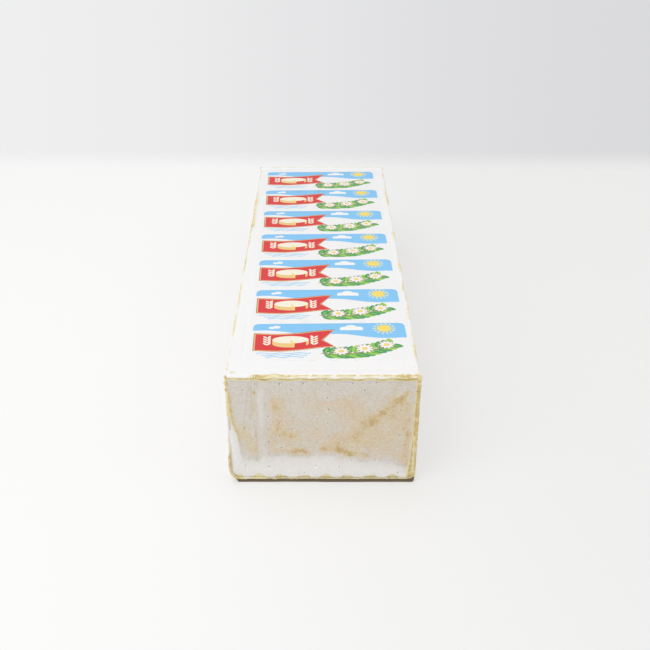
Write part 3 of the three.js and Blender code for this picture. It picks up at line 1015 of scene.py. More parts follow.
def edge_grid(start, end, first_face, second_face):
    """A grid wrapped over one edge of the brick: places along it, distances across it, points and ways out.

    Distances are negative on the first face and positive on the second. The faces are given as the
    directions that lead away from the edge over them.
    """
    start, end = np.array(start, float), np.array(end, float)
    first_face, second_face = np.array(first_face, float), np.array(second_face, float)
    length = np.linalg.norm(end - start)
    along = np.linspace(0, 1, round(length / GATHER_STEP) + 1)
    across = np.linspace(-GATHER_REACH, GATHER_REACH, round(2 * GATHER_REACH / GATHER_STEP) + 1)
    share, distance = np.meshgrid(along, across)
    half_arc = GATHER_RADIUS * np.pi / 4
    turn = ((np.clip(distance, -half_arc, half_arc) + half_arc) / GATHER_RADIUS)[..., None]
    on_first = np.maximum(-distance - half_arc, 0)[..., None]
    on_second = np.maximum(distance - half_arc, 0)[..., None]
    middle = start + share[..., None] * (end - start) + GATHER_RADIUS * (first_face + second_face)
    out = -(np.cos(turn) * second_face + np.sin(turn) * first_face)
    points = middle + GATHER_RADIUS * out + on_first * first_face + on_second * second_face
    return share * length, distance, points, out


def wander(along, size, seed):
    """Noise that changes along an edge only."""
    line = along[0]
    spots = np.stack([line, np.zeros_like(line), np.zeros_like(line)], axis=1)
    return np.broadcast_to(rumple(spots, size, seed), along.shape)


def past_pleat(x, pleat):
    """0 on the left of the pleat and 1 on its right, where the film is drawn tight."""
    return smooth_step(x - pleat, -1.5, 1.0)


def furrow_sag(x):
    """Where the furrow of rind below a top edge sags, at the pitch of the nubs above it."""
    return repeated(x, NUB_FIRST_X, NUB_PITCH, 2.6)


def furrow_depth(x, pleat):
    """How far below a top edge the furrow of rind runs. It sags between the pleat and the right corner."""
    return 1.2 + 0.45 * past_pleat(x, pleat) * furrow_sag(x)


def rind_mass(x, pleat):
    """Where rind is massed behind a top edge, in two heaps beside the pleat."""
    return fall(x - pleat - 4.0, 3.2) + 0.75 * fall(x - pleat - 12.6, 2.3)


def furrow_rind(x, pleat):
    """How much rind shows in the furrow: most below the heaps and where it sags, least between the heaps."""
    gap = fall(x - pleat - 9.0, 1.5)
    uneven = 0.14 * furrow_sag(x) + 0.2 * rind_mass(x, pleat) - 0.25 * gap
    return 0.68 + past_pleat(x, pleat) * uneven


def top_gather(along, across, lumps, seed, pleat, show):
    """Film drawn tight over a top edge: a ridge, a furrow of rind below it and a thin line behind it.

    It is plain up to the pleat. On the top it shows as much rind as given.
    """
    x = along - HALF_WIDTH
    drawn = past_pleat(x, pleat)
    uneven = np.clip(0.8 + 0.5 * wander(along, 9, seed), 0.3, 1.2)
    nubs = drawn * repeated(x, NUB_FIRST_X, NUB_PITCH, 0.75) * uneven * fall(across - 0.85, 0.6)
    furrow_at = -furrow_depth(x, pleat) + 0.12 * wander(along, 4, seed + 1)
    furrow = fall(across - furrow_at, 0.48)
    ridge = drawn * fall(across - furrow_at - 0.9, 0.42)
    line_at = 0.45 + 0.2 * wander(along, 6, seed + 2) + 0.9 * fall(x - pleat - 8.0, 2.6)
    line = drawn * fall(across - line_at, 0.3) * (1 - np.clip(1.5 * nubs, 0, 1))
    knot = fall(x - pleat, 2.2)
    bars = knot * (0.5 + 0.5 * np.cos(2 * np.pi * (x - pleat) / 1.05))
    patch = rind_mass(x, pleat) * drawn
    corner = smooth_step(x, HALF_WIDTH - 14, HALF_WIDTH - 3)
    window = smooth_step(across, -2.8, -2.0) * step_down(across, 1.9, 3.2)
    height = 0.1 + 0.3 * ridge + 0.5 * nubs - 0.32 * furrow - 0.15 * line
    height = height + 0.35 * bars * fall(across + 0.2, 1.6)
    height = height + (0.06 + 0.12 * np.maximum(patch, corner)) * lumps
    patchy = np.clip(1 + 0.5 * wander(along, 5, seed + 3), 0.7, 1.2)
    rind = (furrow_rind(x, pleat) + 0.2 * lumps) * furrow * patchy
    rind = rind + show * (0.6 * line * (1 + 0.5 * lumps) + 0.22 * drawn * fall(across, 0.8))
    # Less stain on the ridge's crest, partly a painted highlight
    stain = np.maximum(0.75 * patch, 0.9 * corner) * (0.7 + 0.7 * lumps - 0.4 * ridge)
    rind = np.minimum(rind + show * stain * fall(across + 0.1, 1.0 + 0.8 * corner), 0.95)
    rind = rind + 0.6 * bars * fall(across + 0.4, 1.6)
    rind = rind * (1 - np.clip(1.4 * nubs, 0, 1))
    damp = FILM_DULL * step_down(across, -1.6, -0.8)
    return height, window, np.maximum(rind, 0), damp


def between(z, low, high, blend):
    """1 from low to high, blending to 0 past them."""
    return smooth_step(z, low - blend, low + blend) * step_down(z, high - blend, high + blend)


def upright_gather(along, across, lumps, seed, low, nubs, lines, bead):
    """An upright edge: nubs of rind, lines of rind and a pale bead of film beside them, whose paleness is
    partly a painted highlight.

    Nubs are (height, size). Lines are (from, to, strength, width) and the bead is (from, to, strength).
    """
    z = along + low
    wavy = 0.3 * wander(along, 8, seed)
    knobs = sum(size * fall(z - place, 0.45 + 0.5 * size) for place, size in nubs) * fall(across + 0.55, 0.9)
    bead_share = bead[2] * between(z, bead[0], bead[1], 1.5)
    bead_ridge = bead_share * fall(across + 1.2 + wavy, 0.3)
    line_share = np.zeros_like(z)
    strip = np.zeros_like(z)
    reach = np.full_like(z, 1.2)
    for start, end, strength, width in lines:
        share = between(z, start, end, 2)
        line_share = np.maximum(line_share, strength * share)
        inner = smooth_step(across, -width - 0.4, 0.4 - width)
        strip = np.maximum(strip, strength * share * inner * step_down(across, -0.1, 0.7))
        reach = np.maximum(reach, width * share)
    on_flank = smooth_step(across, -0.4, 0.5)
    height = (0.14 + 0.4 * bead_ridge + 0.12 * line_share + 0.06 * lumps) * (1 - 0.6 * on_flank)
    height = height + 0.45 * knobs * (1 + 0.4 * lumps)
    window = smooth_step(across + reach, -0.7, 0.1) * step_down(across, 1.0, 2.2)
    aside = 0.35 * line_share * bead_share * fall(across + 2.3 + wavy, 0.5)
    rind = (strip + aside) * (1 + 0.35 * lumps)
    rind = np.minimum(rind + 0.95 * knobs * (1 + 0.5 * lumps), 0.85)
    damp = FILM_DULL * step_down(across, -0.8, 0.2)
    # The bead's crest is left pale, partly as a painted highlight
    return height, window, np.maximum(rind * (1 - 0.9 * bead_ridge), 0), damp


def gather_sheet(name, edge, shape, seed, *shape_values):
    """One edge's gathered film, sunk into the log all round. It is dull on the end face only."""
    along, across, points, out = edge_grid(*edge)
    lumps = rumple(points, 1.9, seed + 9) + 0.5 * rumple(points, 0.8, seed + 10)
    height, window, rind, damp = shape(along, across, lumps, seed, *shape_values)
    length = along.max()
    window = window * smooth_step(along, 0, GATHER_TAPER) * step_down(along, length - GATHER_TAPER, length)
    lift = swell_at(points, out) + height * window - GATHER_SINK * (1 - window)
    front = points + out * lift[..., None]
    back = points - out * 3 * GATHER_SINK
    return film_sheet(name, front, back, damp, rind * window)


def end_gathers(end, side, fold, uprights, show, seed):
    """The gathers on one end's top edge and two upright edges."""
    y = side * HALF_BODY
    inwards = (0, -side, 0)
    top_y = y + side * GATHER_OUT
    top = ((-HALF_WIDTH, top_y, LOG_HEIGHT), (HALF_WIDTH, top_y, LOG_HEIGHT), (0, 0, -1), inwards)
    made = [gather_sheet(end + "_top_gather", top, top_gather, seed, fold["pleat"][-1][1], show)]
    for flank, low, nubs, lines, bead in uprights:
        x = flank * HALF_WIDTH
        edge = ((x, y, low), (x, y, LOG_HEIGHT - UPRIGHT_SHORT), (-flank, 0, 0), inwards)
        name = end + ("_right_gather" if flank > 0 else "_left_gather")
        made.append(gather_sheet(name, edge, upright_gather, seed + 23 + flank, low, nubs, lines, bead))
    return made


# Each upright edge: left or right, its lowest point, its nubs, its lines of rind and its pale bead
FRONT_UPRIGHTS = [
    (-1, LOWER_LEFT_RADIUS, [(49.6, 0.8), (47.3, 1.2), (44.6, 0.8)],
     [(5, 23, 0.36, 0.5), (32, 46, 0.5, 0.9)], (0, 1, 0.0)),
    (1, LOWER_RIGHT_RADIUS,
     [(49.2, 1.4), (46.1, 0.6), (44.1, 1.0), (41.2, 0.5), (38.6, 0.6), (36.0, 0.4), (33.2, 0.5)],
     [(0, 20, 0.72, 3.0), (18, 47, 0.78, 1.6)], (4, 18, 1.0)),
]
BACK_UPRIGHTS = [
    (-1, LOWER_LEFT_RADIUS, [(49.4, 1.1), (44.2, 0.8), (40.1, 0.6), (36.8, 0.7)],
     [(5, 22, 0.62, 3.0), (20, 33, 0.62, 1.8)], (7, 20, 1.0)),
    (1, LOWER_RIGHT_RADIUS, [(49.2, 1.0), (45.5, 0.7)], [(0, 18, 0.35, 0.8)], (0, 1, 0.0)),
]


# Beads of film swept along a path

BEAD_SIDES = 8


def swept_bead(name, path, radius, rind, way_out):
    """A closed, dry tube along points on a face, with a radius and as much rind as given at each point."""
    path = np.asarray(path, float)
    ahead = np.gradient(path, axis=0)
    ahead = ahead / np.linalg.norm(ahead, axis=1, keepdims=True)
    out = np.broadcast_to(np.array(way_out, float), path.shape)
    across = np.cross(ahead, out)
    angles = np.linspace(0, 2 * np.pi, BEAD_SIDES, endpoint=False)
    spokes = across[:, None] * np.cos(angles)[:, None] + out[:, None] * np.sin(angles)[:, None]
    rings = path[:, None] + spokes * np.asarray(radius)[:, None, None]
    count = len(path) * BEAD_SIDES
    corner = np.arange(count).reshape(len(path), BEAD_SIDES)
    aside = np.roll(corner, -1, axis=1)
    quads = np.stack([corner[:-1], aside[:-1], aside[1:], corner[1:]], axis=-1).reshape(-1, 4).tolist()
    faces = quads + [corner[0].tolist(), corner[-1][::-1].tolist()]
    marks = {"damp": np.zeros(count), "rind": np.repeat(rind, BEAD_SIDES)}
    make_piece(name, rings.reshape(-1, 3), faces, [film], marks=marks)


def swollen(places, end_share):
    """The thickness of a bead along its length, 1 in its middle and almost nothing at its two ends."""
    return np.sin(np.pi * np.clip(places / places[-1], end_share, 1 - end_share))


# The lip of film round the foot of an end, as (x, height) from the left edge round to the right corner
FOOT_PATH = [(-38.25, 15), (-38.25, 4.6), (-36.4, 2.3), (-35.0, 1.7), (-20, 1.65), (20, 1.65), (36.4, 1.7),
             (37.6, 2.6), (37.9, 5.0)]
FOOT_STEP = 0.4
FOOT_RADIUS = 0.26


def along_path(stations, step):
    """Points at a steady spacing along a path through stations, with its corners softened."""
    stations = np.array(stations, float)
    lengths = np.concatenate([[0], np.cumsum(np.linalg.norm(np.diff(stations, axis=0), axis=1))])
    places = np.arange(0, lengths[-1] + step / 2, step)
    parts = [
        sum(np.interp(places + shift, lengths, column) for shift in (-1.2, -0.6, 0, 0.6, 1.2)) / 5
        for column in stations.T
    ]
    return places, np.stack(parts, axis=1)


def foot_bead(end, side, seed):
    places, path = along_path(FOOT_PATH, FOOT_STEP)
    x, z = path.T
    points = np.stack([x, side * (HALF_BODY + end_swell(x, z, side) + 0.5), z], axis=1)
    lumps = rumple(points, 3.2, seed) + 0.5 * rumple(points, 1.3, seed + 1)
    taper = smooth_step(places, 0, 4) * step_down(places, places[-1] - 1.5, places[-1])
    on_bevel = step_down(x, -34, -31)
    thicker = 1 + 0.5 * step_down(x, -27, -21) + 0.4 * on_bevel
    radius = FOOT_RADIUS * (0.35 + 0.65 * taper) * (1 + 0.22 * lumps) * thicker
    rind = np.clip(0.42 + 0.3 * lumps + 0.2 * on_bevel + 0.2 * smooth_step(x, 33, 36), 0.15, 0.8)
    swept_bead(end + "_foot_bead", points, radius, rind, (0, side, 0))


# The film folded in under each end: its grid, its height, and its two sides as (height, x) going up
UNDER_COLUMNS = 160
UNDER_ROWS = 9
UNDER_FOOT = 0.02
UNDER_OVERLAP = 0.3
UNDER_LEFT = [(0, -34.9), (1.7, -36.1)]
UNDER_RIGHT = [(0, 37.2), (0.8, 37.8), (1.7, 38.0)]


def shaded_under_fold(end, side, dark, bulge):
    """Film folded in under the foot of an end, that dark with the painted shade of the gap there, and
    bulging that much.
    """
    share_x, share_z = share_grid(UNDER_COLUMNS, UNDER_ROWS)
    z = UNDER_FOOT + (FOOT_GAP + UNDER_OVERLAP) * share_z
    left = np.interp(z, *np.array(UNDER_LEFT).T)
    right = np.interp(z, *np.array(UNDER_RIGHT).T)
    x = left + (right - left) * share_x
    out = HALF_BODY + end_swell(x, z, side) + bulge * (0.5 + 0.4 * step_down(z, 0.2, FOOT_GAP))
    # Painted shade of the gap, darkest low down near the floor
    rind = dark * (2.6 - 1.1 * smooth_step(z, 0.5, FOOT_GAP))
    end_sheet(end + "_shaded_under_fold", side, x, z, out, END_RADIUS, np.full(x.shape, FILM_DULL), rind)


# Nubs of dried rind on the upper corners of each end, as (x, height, length, radius)
FRONT_NUBS = [
    (-38.1, 50.3, 2.2, 0.62), (-38.35, 47.4, 2.4, 0.72), (38.1, 49.9, 3.0, 0.95), (38.4, 46.2, 1.6, 0.5)
]
BACK_NUBS = [(-38.2, 50.1, 2.4, 0.7), (38.2, 50.2, 2.0, 0.6), (38.35, 46.8, 1.8, 0.55)]
NUB_STEP = 0.2
NUB_SINK = 0.1
NUB_BLUNT = 0.04


def corner_nubs(end, side, nubs, seed):
    """Lumps on an end's upright edges, each swept up the edge over a short way."""
    for count, (x, middle, length, size) in enumerate(nubs, 1):
        places, path = along_path([(x, middle - length / 2), (x, middle + length / 2)], NUB_STEP)
        nub_x, z = path.T
        points = on_end_plane(nub_x, z, side * (HALF_BODY - NUB_SINK))
        lumps = rumple(points, 0.9, seed + count)
        radius = size * np.sqrt(swollen(places, NUB_BLUNT)) * (1 + 0.35 * lumps)
        rind = np.clip(0.66 + 0.3 * lumps, 0.3, 0.85)
        swept_bead(f"{end}_nub_{count}", points, radius, rind, (0, side, 0))


# A stray crease of film low on the front, as (x, height)
STRAY_CREASE = [(-5.4, 5.2), (-3.6, 6.0), (-2.2, 7.4), (-0.8, 9.6), (0.4, 10.6)]
STRAY_RADIUS = 0.28
CREASE_BLUNT = 0.06


def stray_crease():
    places, path = along_path(STRAY_CREASE, FOOT_STEP)
    x, z = path.T
    points = np.stack([x, -(HALF_BODY + end_swell(x, z, -1) + THICK_RISE - 0.05), z], axis=1)
    radius = STRAY_RADIUS * swollen(places, CREASE_BLUNT)
    swept_bead("front_stray_crease", points, radius, np.zeros(len(x)), (0, -1, 0))


# A wrinkle of film on the top, left of the label, as (x, y)
TOP_WRINKLE = [(-36.6, -57.5), (-34.8, -60.5), (-33.4, -63.5), (-32.4, -66.5)]
WRINKLE_RADIUS = 0.5


def top_wrinkle():
    places, path = along_path(TOP_WRINKLE, FOOT_STEP)
    x, y = path.T
    drop = (SEAM_STEP - MARGIN_RISE) * smooth_step(seam_x(y) - x, -0.5, 0.5)
    points = np.stack([x, y, top_height(x, y) - drop], axis=1)
    radius = WRINKLE_RADIUS * swollen(places, CREASE_BLUNT)
    swept_bead("top_wrinkle", points, radius, np.zeros(len(x)), (0, 0, 1))


body = wrapped_log()
flaps = end_flaps("front", -1, FRONT_FOLD, FRONT_DAMP, SEED + 20)
flaps += end_flaps("back", 1, BACK_FOLD, BACK_DAMP, SEED + 40)
gathers = end_gathers("front", -1, FRONT_FOLD, FRONT_UPRIGHTS, 1.0, SEED + 80)
gathers += end_gathers("back", 1, BACK_FOLD, BACK_UPRIGHTS, 0.4, SEED + 120)
foot_bead("front", -1, SEED + 150)
foot_bead("back", 1, SEED + 160)
stray_crease()
top_wrinkle()
shaded_under_fold("front", -1, 1.0, 1.0)
shaded_under_fold("back", 1, 0.3, 0.2)
corner_nubs("front", -1, FRONT_NUBS, SEED + 170)
corner_nubs("back", 1, BACK_NUBS, SEED + 180)


# Pin pricks, which sit on the finished surface

def surface_tree(pieces):
    """A search tree of the pieces' faces in millimetres, and how damp each face is."""
    corners = []
    faces = []
    damp = []
    for piece in pieces:
        first = len(corners)
        marks = piece.data.attributes["damp"].data
        corners.extend(vertex.co / MM for vertex in piece.data.vertices)
        for polygon in piece.data.polygons:
            faces.append([first + n for n in polygon.vertices])
            damp.append(marks[polygon.vertices[0]].value)
    return BVHTree.FromPolygons(corners, faces), damp


surface, surface_damp = surface_tree([body, *flaps, *gathers])


def on_surface(start, inwards):
    """Where a line from outside first meets the log, the way out and how damp it is there."""
    place, normal, face, _ = surface.ray_cast(Vector(start), Vector(inwards))
    if place is None:
        return None
    if normal.dot(Vector(inwards)) > 0:
        normal = -normal
    return place, normal, surface_damp[face]


# Rings from a sunk rim inwards: radius as a share, and height in millimetres
PRICK_RINGS = [(1.3, -0.05), (0.98, 0.05), (0.78, 0.06), (0.6, 0.0)]
HIGHLIGHT_RINGS = [(0.75, -0.05), (0.5, 0.12), (0.2, 0.18)]
PRICK_SIDES = 8


def add_rings(mesh, place, normal, size, rings, damp, dark):
    """Adds one small round to lists of points, faces, kinds of ink and damp marks."""
    across = normal.orthogonal().normalized()
    along = normal.cross(across).normalized()
    first = len(mesh["points"])
    for share, height in rings:
        for n in range(PRICK_SIDES):
            angle = 2 * math.pi * n / PRICK_SIDES
            spoke = across * math.cos(angle) + along * math.sin(angle)
            mesh["points"].append(place + spoke * (PRICK_RADIUS * size * share) + normal * (height * size))
            mesh["damp"].append(damp)
    for ring in range(len(rings) - 1):
        for n in range(PRICK_SIDES):
            ahead = (n + 1) % PRICK_SIDES
            outer = first + ring * PRICK_SIDES
            inner = outer + PRICK_SIDES
            mesh["faces"].append([outer + n, outer + ahead, inner + ahead, inner + n])
            mesh["kinds"].append(0)
    last = first + (len(rings) - 1) * PRICK_SIDES
    mesh["faces"].append([last + n for n in range(PRICK_SIDES)])
    mesh["kinds"].append(1 if dark else 0)
    mesh["faces"].append([first + n for n in range(PRICK_SIDES)][::-1])
    mesh["kinds"].append(0)


def prick_places():
    """Where the pins went in: staggered rows on the ends and the sides."""
    starts = []
    side_x = HALF_WIDTH + PRICK_START_OUT
    end_y = HALF_LENGTH + PRICK_START_OUT
    lowest = PRICK_FIRST_Z - PRICK_ROWS_BELOW * PRICK_ROW
    for row, z in enumerate(np.arange(lowest, LOG_HEIGHT - PRICK_TOP_INSET, PRICK_ROW)):
        shift = PRICK_PITCH / 2 if row % 2 == 0 else 0
        first_x = PRICK_FIRST_X + shift - PRICKS_LEFT * PRICK_PITCH
        for x in np.arange(first_x, HALF_WIDTH - PRICK_INSET, PRICK_PITCH):
            if x > PRICK_INSET - HALF_WIDTH:
                starts.append(((x, -end_y, z), (0, 1, 0)))
                starts.append(((-x, end_y, z), (0, -1, 0)))
        first_y = shift - PRICKS_AHEAD * PRICK_PITCH
        for y in np.arange(first_y, HALF_BODY - PRICK_INSET, PRICK_PITCH):
            if y > PRICK_INSET - HALF_BODY:
                starts.append(((-side_x, y, z), (1, 0, 0)))
                starts.append(((side_x, -y, z), (-1, 0, 0)))
    return starts


def pin_pricks():
    """A small dark mouth in a ring of film, with a raised speck of clean white film beside it as a painted
    highlight.
    """
    random = np.random.default_rng(SEED)
    mesh = {"points": [], "faces": [], "kinds": [], "damp": []}
    for start, inwards in prick_places():
        jitter = random.normal(0, PRICK_JITTER, 3)
        draw = random.random(4)
        found = on_surface(np.array(start) + jitter, inwards)
        if found is None or draw[0] < PRICKS_MISSING:
            continue
        place, normal, damp = found
        dark = draw[2] < (PRICKS_DARK if damp > PALE_DAMP else PALE_PRICKS_DARK)
        add_rings(mesh, place, normal, 0.7 + 0.35 * draw[1], PRICK_RINGS, damp, dark)
        if draw[2] < PRICKS_WITH_HIGHLIGHT:
            aside = HIGHLIGHT_ASIDE if draw[3] < 0.5 else -HIGHLIGHT_ASIDE
            beside = Vector((-inwards[1], inwards[0], 0)) * aside + Vector((0, 0, -HIGHLIGHT_BELOW))
            # The speck is clean white film: a painted highlight
            add_rings(mesh, place + beside, normal, 0.4 + 0.3 * draw[3], HIGHLIGHT_RINGS, 0.0, False)
    marks = {"damp": mesh["damp"], "rind": np.zeros(len(mesh["points"]))}
    make_piece(
        "pin_pricks", mesh["points"], mesh["faces"], [film, hole], mesh["kinds"], marks
    )


pin_pricks()


# The label strip

def arc(u, v, radius, squash, angles):
    """Places round a circle, or round one that is squashed."""
    return [(u + radius * math.cos(angle), v + squash * radius * math.sin(angle)) for angle in angles]


def disc(u, v, radius, squash=1.0, count=20):
    return arc(u, v, radius, squash, np.linspace(0, 2 * np.pi, count, endpoint=False))


def leaf(u, v, length, width, turn, count=6):
    """A pointed oval that grows from (u, v)."""
    shares = np.linspace(0, 1, count + 1)
    bow = 0.5 * width * np.sin(np.pi * shares) ** 0.8
    along = np.concatenate([shares, shares[-2:0:-1]]) * length
    across = np.concatenate([bow, -bow[-2:0:-1]])
    cos, sin = math.cos(turn), math.sin(turn)
    return [(u + a * cos - b * sin, v + a * sin + b * cos) for a, b in zip(along, across)]


def band(upper, lower):
    """A shape between two edges that both run from left to right."""
    return list(upper) + list(lower)[::-1]


def wave(u_from, u_to, level, height, length, phase, slope=0.0, count=24):
    return [
        (u, level + slope * (u - u_from) + height * math.sin(2 * math.pi * u / length + phase))
        for u in np.linspace(u_from, u_to, count)
    ]


def sky_shapes():
    """A field of sky with a sun and two clouds."""
    top = 14.6
    left, right, corner = -32.5, 32.5, 2.4
    upper = [(left, top - corner), (left + 0.3 * corner, top - 0.3 * corner), (left + corner, top)]
    upper += [(right - corner, top), (right - 0.3 * corner, top - 0.3 * corner), (right, top - corner)]
    lower = wave(left, right, 8.6, 0.9, 30, 0.4, slope=-0.12)
    shapes = [("sky", band(upper, lower))]
    sun_u, sun_v = 23.5, 9.6
    for n in range(14):
        turn = 2 * math.pi * n / 14
        base = (sun_u + 3.4 * math.cos(turn), sun_v + 3.4 * math.sin(turn))
        shapes.append(("ray", leaf(*base, 1.7, 0.9, turn, 3)))
    shapes.append(("sun", disc(sun_u, sun_v, 3.1, count=28)))
    puffs = ((6.4, 9.7, 1.9), (9.4, 10.7, 2.6), (12.6, 9.8, 2.0), (-24.5, 11.0, 1.3), (-22.4, 11.6, 1.6))
    shapes += [("petal", disc(u, v, radius, 0.8)) for u, v, radius in puffs]
    flat_top = wave(4.6, 14.4, 9.4, 0, 9, 0, count=4)
    flat_foot = wave(4.6, 14.4, 8.2, 0, 9, 0, count=4)
    shapes.append(("petal", band(flat_top, flat_foot)))
    return shapes


def stem_place(share):
    """A place on the garland's stem, from its left end at 0 to its right end at 1."""
    return -4.0 + 30.0 * share, -11.5 + 7.5 * share**2 - 1.5 * math.sin(3.1 * share)


def garland_shapes():
    """A stem of leaves across the lower right, with daisies on it."""
    shapes = []
    pairs = 12
    for n in range(pairs):
        share = (n + 0.5) / pairs
        rising = math.radians(12 + 28 * share)
        length = 7.0 - 2.4 * abs(share - 0.45)
        for flip in (-1, 1):
            turn = rising + flip * math.radians(52)
            tone, vein = ("dark_leaf", "leaf") if (n + flip) % 3 else ("leaf", "dark_leaf")
            shapes.append((tone, leaf(*stem_place(share), length, 3.4, turn)))
            shapes.append((vein, leaf(*stem_place(share), 0.85 * length, 0.55, turn, 3)))
    stem = [stem_place(share) for share in np.linspace(0, 1, 16)]
    shapes.append(("wine", band([(u, v + 0.22) for u, v in stem], [(u, v - 0.22) for u, v in stem])))
    for u, v, size, turn in ((4.4, -9.8, 3.3, 0.1), (14.2, -7.6, 3.9, 0.3), (23.4, -4.6, 3.3, 0.0)):
        petals = [turn + 2 * math.pi * n / 10 for n in range(10)]
        shapes += [("blush", leaf(u, v, size + 0.25, 1.75, angle, 4)) for angle in petals]
        shapes += [("petal", leaf(u, v, size, 1.3, angle, 4)) for angle in petals]
        shapes.append(("gold", disc(u, v, 1.25, count=14)))
        shapes.append(("sun", disc(u, v, 0.95, count=12)))
    return shapes


def pennant(grow):
    """The red pennant's outline, with a notched right end, drawn larger for its borders."""
    left, right = -31.2 - grow, 1.5 + grow
    upper = wave(left, right, 5.4 + grow, 1.1, 44, 1.2, slope=0.05)
    lower = wave(left, right, -8.2 - grow, 1.1, 44, 1.2, slope=0.05)
    notch = [(right - 5.0, -0.2)]
    return upper + notch + lower[::-1]


def pennant_shapes():
    """The pennant with a cut round of cheese between two sprigs."""
    shapes = [("wine", pennant(0.75)), ("gold", pennant(0.45)), ("red", pennant(0.0))]
    u, v, radius, squash, depth = -16.4, 0.4, 7.6, 0.42, 3.4
    lower = arc(u, v - depth, radius, squash, np.linspace(np.pi, 2 * np.pi, 14))
    shapes.append(("gold", [(u - radius, v), *lower, (u + radius, v)]))
    shapes.append(("cream", disc(u, v, radius, squash, 30)))
    cut = arc(u, v, radius, squash, np.linspace(-1.35, -0.55, 6))
    shapes.append(("red", [(u, v), *cut, *[(p, q - depth - 0.3) for p, q in cut[::-1]]]))
    shapes.append(("sun", [(u, v), cut[0], (cut[0][0], cut[0][1] - depth), (u, v - depth * 0.62)]))
    for flip in (-1, 1):
        for n in range(4):
            base = (u + flip * 9.6, v - 4.6 + 1.9 * n)
            for lean in (-0.75, 0.45):
                shapes.append(("cream", leaf(*base, 2.9, 1.1, math.pi / 2 + flip * lean, 4)))
    return shapes


def ripple_shapes():
    """Three thin ripples across the lower left."""
    shapes = []
    for n in range(3):
        level = -11.0 - 1.5 * n
        upper = wave(-30.5 + 2 * n, -8.0 - 1.5 * n, level + 0.3, 0.45, 7.5, n)
        lower = wave(-30.5 + 2 * n, -8.0 - 1.5 * n, level - 0.3, 0.45, 7.5, n)
        shapes.append(("water", band(upper, lower)))
    return shapes


def anticlockwise(outline):
    """The same outline, walked the way round that the triangulation takes as its inside."""
    ahead = outline[1:] + outline[:1]
    doubled_area = sum(a[0] * b[1] - b[0] * a[1] for a, b in zip(outline, ahead))
    return outline if doubled_area > 0 else outline[::-1]


def strip_outline(width, length):
    """The strip's rim, and points spread over it so that it can follow the film."""
    across = np.linspace(-width / 2, width / 2, round(width / LABEL_GRID) + 1)
    along = np.linspace(-length / 2, length / 2, round(length / LABEL_GRID) + 1)
    rim = [(u, -length / 2) for u in across[:-1]] + [(width / 2, v) for v in along[:-1]]
    rim += [(u, length / 2) for u in across[:0:-1]] + [(-width / 2, v) for v in along[:0:-1]]
    return rim, [(u, v) for u in across[1:-1] for v in along[1:-1]]


def triangulated(shapes, inside):
    """Flat triangles over all the shapes, each with the index of the last shape that covers it."""
    corners = []
    outlines = []
    for _, outline in shapes:
        outlines.append(list(range(len(corners), len(corners) + len(outline))))
        corners.extend(Vector(place) for place in anticlockwise(outline))
    corners.extend(Vector(place) for place in inside)
    flat, _, triangles, _, _, origins = delaunay_2d_cdt(corners, [], outlines, 1, 1e-4)
    return np.array([tuple(place) for place in flat]), triangles, [max(origin) for origin in origins]


def printed_strip(width, length):
    """The strip's flat points, its faces and their inks: the print, the bare back and the cut edge."""
    rim, inside = strip_outline(width, length)
    picture = [*sky_shapes(), *ripple_shapes(), *garland_shapes(), *pennant_shapes()]
    shapes = [("paper", rim)]
    for portion in range(PORTIONS):
        shift = (portion - (PORTIONS - 1) / 2) * length / PORTIONS
        shapes += [(ink, [(u, v + shift) for u, v in outline]) for ink, outline in picture]
    order = list(inks)
    front, faces, covers = triangulated(shapes, inside)
    kinds = [order.index(shapes[cover][0]) for cover in covers]
    back, back_faces, _ = triangulated(shapes[:1], inside)
    faces = faces + [[corner + len(front) for corner in face[::-1]] for face in back_faces]
    count = len(rim)
    for n in range(count):
        ahead = (n + 1) % count
        faces.append([n, n + len(front), ahead + len(front), ahead])
    kinds += [order.index("paper")] * (len(back_faces) + count)
    return front, back, faces, kinds


def label_strip():
    """The printed strip on the log's top, a little askew, following the film under it."""
    cos, sin = math.cos(LABEL_TURN), math.sin(LABEL_TURN)
    box_x = (label_high.x - label_low.x) / MM
    box_y = (label_high.y - label_low.y) / MM
    width = (box_x * cos - box_y * sin) / math.cos(2 * LABEL_TURN)
    length = (box_y * cos - box_x * sin) / math.cos(2 * LABEL_TURN)
    middle_x = (label_low.x + label_high.x) / 2 / MM
    middle_y = (label_low.y + label_high.y) / 2 / MM
    front, back, faces, kinds = printed_strip(width, length)
    u, v = np.concatenate([front, back]).T
    x = middle_x + u * cos - v * sin
    y = middle_y + u * sin + v * cos
    spots = np.stack([x, y, np.zeros_like(x)], axis=1)
    from_rim = np.minimum(width / 2 - np.abs(u), length / 2 - np.abs(v))
    z = top_height(x, y) + LABEL_LIFT - LABEL_RIM_DROP * fall(from_rim, LABEL_RIM_REACH)
    z = z + LABEL_RUMPLE * rumple(spots, LABEL_RUMPLE_SIZE, SEED + 60)
    z[len(front):] -= LABEL_PAPER
    points = np.stack([x, y, z], axis=1)
    piece = make_piece("printed_label", points, faces, list(inks.values()), kinds,
                       sharp_past=math.radians(50))
    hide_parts("label_strip")


label_strip()


# Stage, light and camera

# The floor glows as painted light, a little brighter on its left, which lifts the shade round the log
FLOOR_GLOW_LEFT = paint(176, 176, 176)
FLOOR_GLOW_RIGHT = paint(160, 160, 160)
FLOOR_GREY = paint(192, 192, 191)
FLOOR_REACH = 2.5
FLOOR_FAR = 0.33
FLOOR_FADE = 0.06
GLOW_SPREAD = 0.13
# The pale wall behind it, painted lighter on its left as the light falls, and the strength of the room's
# light
WALL_LEFT = paint(239, 239, 240)
WALL_RIGHT = paint(219, 219, 221)
WALL_SPREAD = 0.33
ROOM_LIGHT = 0.6


